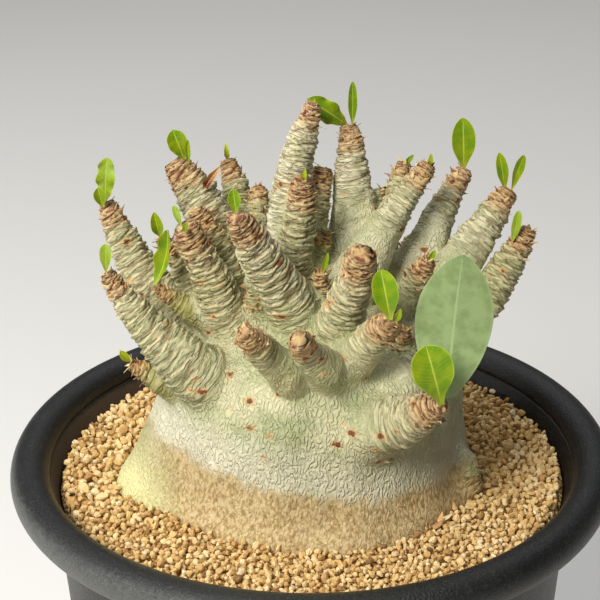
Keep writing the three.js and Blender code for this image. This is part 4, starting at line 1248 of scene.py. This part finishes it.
class RoseColours(bpy.types.PropertyGroup):
    """Colours of the plant, the grit and the pot."""

    bark_green: colour_of("Bark green", "Skin of the caudex and branches", 166, 172, 126)
    bark_cream: colour_of("Bark cream", "Pale mottling of the skin", 205, 201, 162)
    bark_olive: colour_of("Bark olive", "Skin of the youngest branches", 146, 142, 56)
    bark_chalk: colour_of("Bark chalk", "Whitish bloom on old skin", 222, 218, 190)
    bark_yellow_and_highlight: colour_of("Bark sun", "Buttress that stays bright at the foot", 230, 228, 164)
    # Painted highlight on the lit lower left of the caudex, and the own pale yellow of the bud low on it.
    bark_tan: colour_of("Bark tan", "Band that the grit stains at the foot", 182, 149, 94)
    bark_shade: colour_of("Bark shade", "Wrinkles and creases", 92, 78, 46)
    # Brown of the flecks in the tan band, and of the creases between the scars, where it is partly painted
    # shade.
    brown_and_crease_shade: colour_of("Crease brown", "Creases between the leaf scars", 124, 98, 66)
    scar_cream: colour_of("Scar cream", "Lips of the leaf scars", 224, 204, 158)
    tip_brown: colour_of("Tip brown", "Young wood at the tips", 204, 162, 104)
    scale_brown: colour_of("Scale brown", "Dried scales and rusty spots", 108, 48, 34)
    leaf_lime: colour_of("Leaf lime", "Young leaves", 136, 158, 4)
    leaf_pale: colour_of("Leaf pale", "Crinkled young leaves", 146, 176, 66)
    leaf_green: colour_of("Leaf green", "Half-grown leaves", 98, 140, 6)
    # Painted shade: a darker green for the leaf behind the branches.
    leaf_painted_shade: colour_of("Leaf dark", "Leaves behind", 52, 86, 30)
    leaf_yellow: colour_of("Leaf yellow", "Leaves in bud", 180, 190, 34)
    leaf_glaucous: colour_of("Leaf underside", "Underside of the grown leaf", 144, 166, 112)
    leaf_shade: colour_of("Leaf underside shade", "Blotches on the grown leaf", 124, 146, 92)
    rib_pale: colour_of("Midrib", "Midribs and leaf stalks", 184, 198, 74)
    rib_glaucous: colour_of("Underside midrib", "Midrib of the grown leaf", 160, 182, 128)
    grit_tan: colour_of("Grit tan", "Most of the grains", 218, 184, 122)
    grit_dark: colour_of("Grit dark", "Darker grains", 182, 140, 84)
    # Darkest grains, and painted shade in the gaps of the packed bed.
    grit_brown_and_gap_shade: colour_of("Grit brown", "Darkest grains and gaps", 84, 54, 30)
    grit_pale: colour_of("Grit pale", "Worn grains", 234, 208, 156)
    grit_white: colour_of("Grit white", "A few whitish grains", 240, 224, 190)
    grit_dirt: colour_of("Clay dust", "Dust on the pot above the grit", 78, 60, 42)
    pot_black: colour_of("Pot black", "Moulded plastic", 6, 7, 5)
    pot_grey: colour_of("Pot grey", "Flecks where it is rubbed", 104, 106, 102)
    pot_worn: colour_of("Pot worn", "Faded plastic", 24, 25, 22)
    # Painted sheen: this pale colour on the outer face of the roll stands in for light shining back from
    # it.
    pot_painted_sheen: colour_of("Rubbed edge", "The outer edge of the roll, rubbed pale", 138, 140, 136)
    floor: colour_of("Floor", "The pale floor", 234, 232, 227)


class RosePlant(bpy.types.PropertyGroup):
    """How finely and how strongly the plant's skin is made."""

    body_columns: bpy.props.IntProperty(
        name="Caudex columns", description="Points round the caudex", default=440, min=60, max=600)
    body_rows: bpy.props.IntProperty(
        name="Caudex rows", description="Points from its underside to its crown", default=190,
        min=40, max=300)
    columns: bpy.props.IntProperty(
        name="Branch columns", description="Points round a branch", default=64, min=12, max=96)
    ring_step: length_of("Branch row spacing", "Distance between points along a branch", 0.34)
    scar_height: length_of("Scar height", "How far a leaf scar stands out", 0.9)
    melt: length_of("Melt", "Radius over which branches run into each other", 1.3)
    lump: length_of("Lump", "Height of the slow unevenness of the skin", 0.5)


class RosePot(bpy.types.PropertyGroup):
    """The nursery pot's sizes."""

    roll_radius: length_of("Rim roll", "Radius of the rolled rim", 5.8)
    wall: length_of("Wall", "Thickness of the wall", 1.8)
    neck_radius: length_of("Neck radius", "Outer radius of the wall under the rim", 77.4)
    neck_height: length_of("Neck height", "Height of the wall under the rim", 123)
    foot_radius: length_of("Foot radius", "Outer radius at the ground", 69)
    foot_height: length_of("Foot height", "Height of the floor's underside", 4)
    floor: length_of("Floor thickness", "Thickness of the floor", 3)
    drain_radius: length_of("Drain hole radius", "Radius of the hole in the floor", 18)
    notch_width: length_of("Notch width", "Width of the four drain notches in the foot", 11)
    notch_height: length_of("Notch height", "Height of the drain notches", 2.6)
    columns: bpy.props.IntProperty(
        name="Columns", description="Points round the pot", default=288, min=48, max=480)


class RoseGrit(bpy.types.PropertyGroup):
    """The loose grains."""

    smallest: length_of("Smallest grain", "Smallest radius of a grain", 0.7)
    largest: length_of("Largest grain", "Largest radius of a grain", 1.7)
    under: bpy.props.IntProperty(
        name="Lower grains", description="Grains tried in the lower layer", default=5200, min=0, max=9000)
    over: bpy.props.IntProperty(
        name="Upper grains", description="Grains tried in the upper layer", default=7500, min=0, max=9000)
    seed: bpy.props.IntProperty(
        name="Seed", description="Start of the grains' random numbers", default=11, min=0)


class RoseStage(bpy.types.PropertyGroup):
    """Camera, lights and floor."""

    lens: bpy.props.FloatProperty(
        name="Lens", description="Focal length on a 36 mm sensor", default=96, min=10, unit="CAMERA")
    distance: length_of("Camera distance", "From the camera to the point it looks at", 463.8)
    tilt: bpy.props.FloatProperty(
        name="Tilt", description="How far the camera looks down", default=math.radians(23.9),
        subtype="ANGLE", unit="ROTATION")
    roll: bpy.props.FloatProperty(
        name="Roll", description="How far the camera leans", default=math.radians(-0.56),
        subtype="ANGLE", unit="ROTATION")
    aim: bpy.props.FloatVectorProperty(
        name="Aim", description="The point that the camera looks at", size=3,
        default=(-3 * MM, 0, 184.84 * MM), subtype="TRANSLATION", unit="LENGTH")
    key: bpy.props.FloatProperty(
        name="Key light", description="Power of the light from the upper left", default=9.2,
        min=0, subtype="POWER", unit="POWER")
    window: bpy.props.FloatProperty(
        name="Window light", description="Power of the light from the left", default=3.2, min=0,
        subtype="POWER", unit="POWER")
    top: bpy.props.FloatProperty(
        name="Top light", description="Power of the light overhead", default=17, min=0,
        subtype="POWER", unit="POWER")
    sky: bpy.props.FloatProperty(
        name="Surroundings", description="Brightness of the even light all round", default=0.14,
        min=0)


# ---------------------------------------------------------------- one operator a piece


def finish_of(name, make):
    """The material of that name, made the first time it is asked for."""
    return bpy.data.materials.get(name) or make(bpy.context.scene.rose_colours)


def lumps(points, height):
    """The slow unevenness that the whole skin shares, so that pieces meet without a step."""
    return height * (waves(points, 26, 41) * 0.9 + waves(points, 11, 42) * 0.5)


def loose_scales(melt):
    """Where the peeling bark and the fallen bracts stand, as for the scales at the tips, and
    their tones. A peeling scale starts on the skin, where a line drawn in towards the axis at
    its height first meets it, and stands along it sideways."""
    reach = np.arange(80, 30, -0.1)[:, None]
    bodies = [TRUNK, *LIMBS.values()]
    rows = []
    for angle, height, length, width, tone in PEELING:
        turn = math.radians(angle)
        way = np.array([math.cos(turn), math.sin(turn), 0])
        line = way * reach + (0, 0, height)
        total, _under = melted(line, bodies, 0, melt)
        foot = line[np.argmax(total < -0.1)]
        side = np.array([-way[1], way[0], -0.25])
        rows.append((foot, unit(side + way * 0.12), way, length, width, 0.12, tone))
    for place, angle, length, width, tone in LITTER:
        turn = math.radians(angle)
        side = np.array([math.cos(turn), math.sin(turn), 0.12])
        rows.append((np.array(place), unit(side), np.array([0, 0, 1.0]), length, width, 0.35, tone))
    return [np.array(column, float) for column in zip(*rows)]


class ROSE_OT_caudex(bpy.types.Operator):
    """Builds the swollen caudex with its buttresses"""

    bl_idname = "rose.caudex"
    bl_label = "Caudex"

    def execute(self, context):
        sizes = context.scene.rose_plant
        curve = profile_curve(2000)
        run = lengths_along(curve)
        places = np.linspace(0.8, run[-1] - 0.4, sizes.body_rows)
        radius, height = (np.interp(places, run, curve[:, i]) for i in range(2))
        slope = unit(np.stack([np.gradient(radius), np.gradient(height)], -1))
        turn = np.linspace(0, 2 * math.pi, sizes.body_columns, endpoint=False)[None, :]
        reach = np.clip(radius, 0, None)[:, None] + buttress(turn, height[:, None])
        skin = np.stack([reach * np.cos(turn), reach * np.sin(turn), height[:, None] + 0 * turn], -1)
        outward = np.stack([
            slope[:, 1, None] * np.cos(turn), slope[:, 1, None] * np.sin(turn),
            -slope[:, 0, None] + 0 * turn], -1)
        bodies = [TRUNK, *LIMBS.values()]
        flat, _under = fitted(skin.reshape(-1, 3), outward.reshape(-1, 3), bodies, 0,
                              sizes.melt / MM, SKIN_REACH)
        flat = flat + outward.reshape(-1, 3) * lumps(flat, sizes.lump / MM)[:, None]
        rows = flat.reshape(skin.shape)
        vertices, faces = closed_tube(rows, rows[0].mean(0), rows[-1].mean(0))
        put("caudex_body", vertices, faces, finish_of("bark_skin", bark_finish), ["caudex"],
            no_marks(len(vertices)))
        return {"FINISHED"}


class ROSE_OT_roots(bpy.types.Operator):
    """Builds the thick roots under the grit"""

    bl_idname = "rose.roots"
    bl_label = "Roots"

    def execute(self, context):
        for i, (angle, far, low) in enumerate(ROOTS):
            rings, start, end = root_skin(angle, far, low, 50 + i)
            vertices, faces = closed_tube(rings, start, end)
            put(f"caudex_root_{i + 1}", vertices, faces, finish_of("bark_skin", bark_finish),
                marks=no_marks(len(vertices)))
        return {"FINISHED"}


class ROSE_OT_branches(bpy.types.Operator):
    """Builds the branches, ringed by their leaf scars and melted into the caudex"""

    bl_idname = "rose.branches"
    bl_label = "Branches"

    def execute(self, context):
        sizes = context.scene.rose_plant
        for i, row in enumerate(BRANCHES):
            rings, start, end, marks = branch_skin(LIMBS[row[0]], row, sizes, 100 + i)
            vertices, faces = closed_tube(rings, start, end)
            flat = {}
            for name, values in marks.items():
                values = np.broadcast_to(values, rings.shape[:2]).ravel()
                flat[name] = np.append(values, [0, values[-1]])
            put("branch_" + row[0], vertices, faces, finish_of("bark_skin", bark_finish),
                marks=flat)
        return {"FINISHED"}


class ROSE_OT_scales(bpy.types.Operator):
    """Builds the dried scales and buds at the branch tips"""

    bl_idname = "rose.scales"
    bl_label = "Dried scales"

    def execute(self, context):
        rng = np.random.default_rng(7)
        parts = [tip_scales(LIMBS[row[0]], row, rng) for row in BRANCHES if row[8] > 0]
        *loose, tones = loose_scales(context.scene.rose_plant.melt / MM)
        placed = [np.concatenate(part) for part in zip(*parts, loose)]
        top, bottom = flakes(placed)
        vertices, faces = many_plates(top, bottom)
        tones = np.concatenate([rng.beta(1.3, 1.8, len(top) - len(tones)), tones])
        tone = np.repeat(tones, len(vertices) // len(top))
        put("dried_scales", vertices, faces, finish_of("dried_scale", scale_finish),
            marks={"tone": tone})
        return {"FINISHED"}


class ROSE_OT_leaves(bpy.types.Operator):
    """Builds the leaves, each a thin blade with its midrib"""

    bl_idname = "rose.leaves"
    bl_label = "Leaves"

    def execute(self, context):
        for i, row in enumerate(LEAVES):
            name, kind = row[0], row[9]
            top, bottom, uv = leaf_blade(row, 300 + i)
            vertices, faces = plate(top, bottom)
            finish = finish_of("blade_" + kind, lambda colours: leaf_finish(
                "blade_" + kind, *leaf_looks(colours)[kind]))
            put("blade_" + name, vertices, faces, finish,
                ["leaf_" + name], uv=np.concatenate([uv.reshape(-1, 2)] * 2))
        return {"FINISHED"}


class ROSE_OT_grit(bpy.types.Operator):
    """Builds the loose clay grains over the bed and gives the bed its finish"""

    bl_idname = "rose.grit"
    bl_label = "Grit"

    def execute(self, context):
        sizes = context.scene.rose_grit
        rng = np.random.default_rng(sizes.seed)
        curve = profile_curve(400)
        at_top = float(np.interp(GRIT_TOP, curve[:200, 1], curve[:200, 0]))
        wall = POT_RADIUS - 15

        def allowed(spots, size):
            """Whether a grain of this size stays off the pot's wall and the caudex."""
            out = np.hypot(spots[:, 0], spots[:, 1])
            angle = np.arctan2(spots[:, 1], spots[:, 0])
            inner = at_top + buttress(angle, np.float64(GRIT_TOP))
            return (out < wall - size * 0.9) & (out > inner + size * 0.45)

        def strewn(count, floor, ceiling):
            """Grains spread evenly over the bed and let down, a little smaller in front."""
            out = np.sqrt(rng.uniform(48**2, wall**2, count))
            turn = rng.uniform(0, 2 * math.pi, count)
            places = np.stack([out * np.cos(turn), out * np.sin(turn)], -1)
            share = rng.beta(1.5, 2.6, count)
            radii = (sizes.smallest + (sizes.largest - sizes.smallest) * share) / MM
            radii *= 0.88 + 0.24 * smoothstep(-60, 10, places[:, 1])
            return settled(places, radii, floor, ceiling, 7, allowed, rng)

        lower = strewn(sizes.under, GRIT_TOP - 0.4, GRIT_TOP + 0.5)
        upper = strewn(sizes.over, GRIT_TOP + 0.55, GRIT_TOP + 2.1)
        halves = ("left", "right")
        for layer, rest in (("lower", lower), ("upper", upper)):
            for side, name in enumerate(halves):
                part = rest[(rest[:, 0] > 0) == bool(side)]
                vertices, faces, tone = grains(part[:, :3], part[:, 3], GRAIN_CUTS, sizes.seed + side)
                put(f"grit_{layer}_{name}", vertices, [faces],
                    finish_of("grit_grain", grain_finish), marks={"tone": tone}, smooth=False)
        repaint("grit_bed", finish_of("packed_grit", bed_finish))
        return {"FINISHED"}


class ROSE_OT_pot(bpy.types.Operator):
    """Builds the nursery pot with its rolled rim and notched foot"""

    bl_idname = "rose.pot"
    bl_label = "Pot"

    def execute(self, context):
        sizes = context.scene.rose_pot
        outline = pot_outline(sizes)
        rings, turn = turned_loop(outline, sizes.columns)
        quarter = math.pi / 2
        away = np.abs(turn % quarter - quarter / 2) * sizes.foot_radius / MM
        half = sizes.notch_width / MM / 2
        lift = sizes.notch_height / MM * smoothstep(half + 0.5, half - 0.5, away)
        rings[..., 2] = np.maximum(rings[..., 2], lift[None, :])
        put("nursery_pot", rings.reshape(-1, 3), [loop_quads(*rings.shape[:2])],
            finish_of("moulded_pot", pot_finish), ["pot"])
        repaint("drain_mesh", finish_of("moulded_mesh", mesh_finish))
        return {"FINISHED"}


class ROSE_OT_stage(bpy.types.Operator):
    """Sets the pale floor, the soft lights and the camera"""

    bl_idname = "rose.stage"
    bl_label = "Stage"

    def execute(self, context):
        scene, sizes = context.scene, context.scene.rose_stage
        rows = len(FLOOR_RINGS)
        turn = np.linspace(0, 2 * math.pi, FLOOR_COLUMNS, endpoint=False)
        rings = np.stack([np.stack([r * np.cos(turn), r * np.sin(turn), 0 * turn - FLOOR_DROP], -1)
                          for r in FLOOR_RINGS])
        mesh = bpy.data.meshes.new("floor")
        vertices = np.vstack([rings.reshape(-1, 3), [(0, 0, -FLOOR_DROP)]]) * MM
        last, middle = (rows - 1) * FLOOR_COLUMNS, rows * FLOOR_COLUMNS
        fan = [(last + i, last + (i + 1) % FLOOR_COLUMNS, middle) for i in range(FLOOR_COLUMNS)]
        mesh.from_pydata(vertices.tolist(), [], ring_quads(rows, FLOOR_COLUMNS).tolist() + fan)
        mesh.materials.append(finish_of("pale_floor", floor_finish))
        floor = bpy.data.objects.new("floor", mesh)
        scene.collection.objects.link(floor)

        soft_light("key", (-350, -560, 750), 330, sizes.key, (1.0, 0.97, 0.92))
        soft_light("window", (-900, 60, 560), 420, sizes.window, (0.95, 0.98, 1.0))
        soft_light("overhead", (-100, 700, 1800), 1800, sizes.top, (0.97, 0.98, 1.0))
        world = bpy.data.worlds.new("surroundings")
        world.use_nodes = True
        world.node_tree.nodes["Background"].inputs["Color"].default_value = (0.86, 0.88, 0.9, 1)
        world.node_tree.nodes["Background"].inputs["Strength"].default_value = sizes.sky
        scene.world = world
        scene.view_settings.view_transform = "Standard"

        camera = bpy.data.objects.new("camera", bpy.data.cameras.new("camera"))
        camera.data.lens = sizes.lens
        camera.data.sensor_width = 36
        camera.data.clip_end = 20
        back = np.array([0, -math.cos(sizes.tilt), math.sin(sizes.tilt)])
        right, up = np.array([1.0, 0, 0]), np.cross(back, (1.0, 0, 0))
        c, s = math.cos(sizes.roll), math.sin(sizes.roll)
        axes = np.stack([c * right + s * up, c * up - s * right, back], -1)
        matrix = np.eye(4)
        matrix[:3, :3] = axes
        matrix[:3, 3] = np.array(sizes.aim) + back * sizes.distance
        camera.matrix_world = mathutils.Matrix(matrix.tolist())
        scene.collection.objects.link(camera)
        scene.camera = camera
        return {"FINISHED"}


def soft_light(name, place, size, power, colour):
    """A square area light at a place, in millimetres, turned to the middle of the plant."""
    light = bpy.data.lights.new(name, "AREA")
    light.size = size * MM
    light.energy = power
    light.color = colour
    lamp = bpy.data.objects.new(name, light)
    lamp.location = [value * MM for value in place]
    way = mathutils.Vector((0, 0, 160 * MM)) - lamp.location
    lamp.rotation_euler = way.to_track_quat("-Z", "Y").to_euler()
    bpy.context.scene.collection.objects.link(lamp)


def repaint(node, finish):
    """Gives a CAD node that stays shown its finish."""
    for material_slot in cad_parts[node].material_slots:
        material_slot.link = "OBJECT"
        material_slot.material = finish


class ROSE_PT_panel(bpy.types.Panel):
    """Lists the pieces of the potted desert rose"""

    bl_idname = "ROSE_PT_panel"
    bl_label = "Desert Rose"
    bl_space_type = "VIEW_3D"
    bl_region_type = "UI"
    bl_category = "Desert Rose"

    def draw(self, context):
        for step in STEPS:
            self.layout.operator(step.bl_idname)
        for group in GROUPS:
            box = self.layout.box()
            box.label(text=group)
            for field in GROUPS[group].__annotations__:
                box.prop(getattr(context.scene, group), field)


GROUPS = {
    "rose_colours": RoseColours, "rose_plant": RosePlant, "rose_pot": RosePot,
    "rose_grit": RoseGrit, "rose_stage": RoseStage,
}
STEPS = (
    ROSE_OT_caudex, ROSE_OT_roots, ROSE_OT_branches, ROSE_OT_scales, ROSE_OT_leaves,
    ROSE_OT_grit, ROSE_OT_pot, ROSE_OT_stage,
)


def register():
    """Registers the classes and puts each group of properties on the scene."""
    for kind in (*GROUPS.values(), *STEPS, ROSE_PT_panel):
        bpy.utils.register_class(kind)
    for name, kind in GROUPS.items():
        setattr(bpy.types.Scene, name, bpy.props.PointerProperty(type=kind))


def unregister():
    """Takes the groups of properties off the scene and the classes away."""
    for name in GROUPS:
        delattr(bpy.types.Scene, name)
    for kind in (ROSE_PT_panel, *STEPS, *GROUPS.values()):
        bpy.utils.unregister_class(kind)


def main():
    """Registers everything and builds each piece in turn."""
    register()
    bpy.ops.rose.caudex()
    bpy.ops.rose.roots()
    bpy.ops.rose.branches()
    bpy.ops.rose.scales()
    bpy.ops.rose.leaves()
    bpy.ops.rose.grit()
    bpy.ops.rose.pot()
    bpy.ops.rose.stage()


if __name__ == "__main__":
    main()
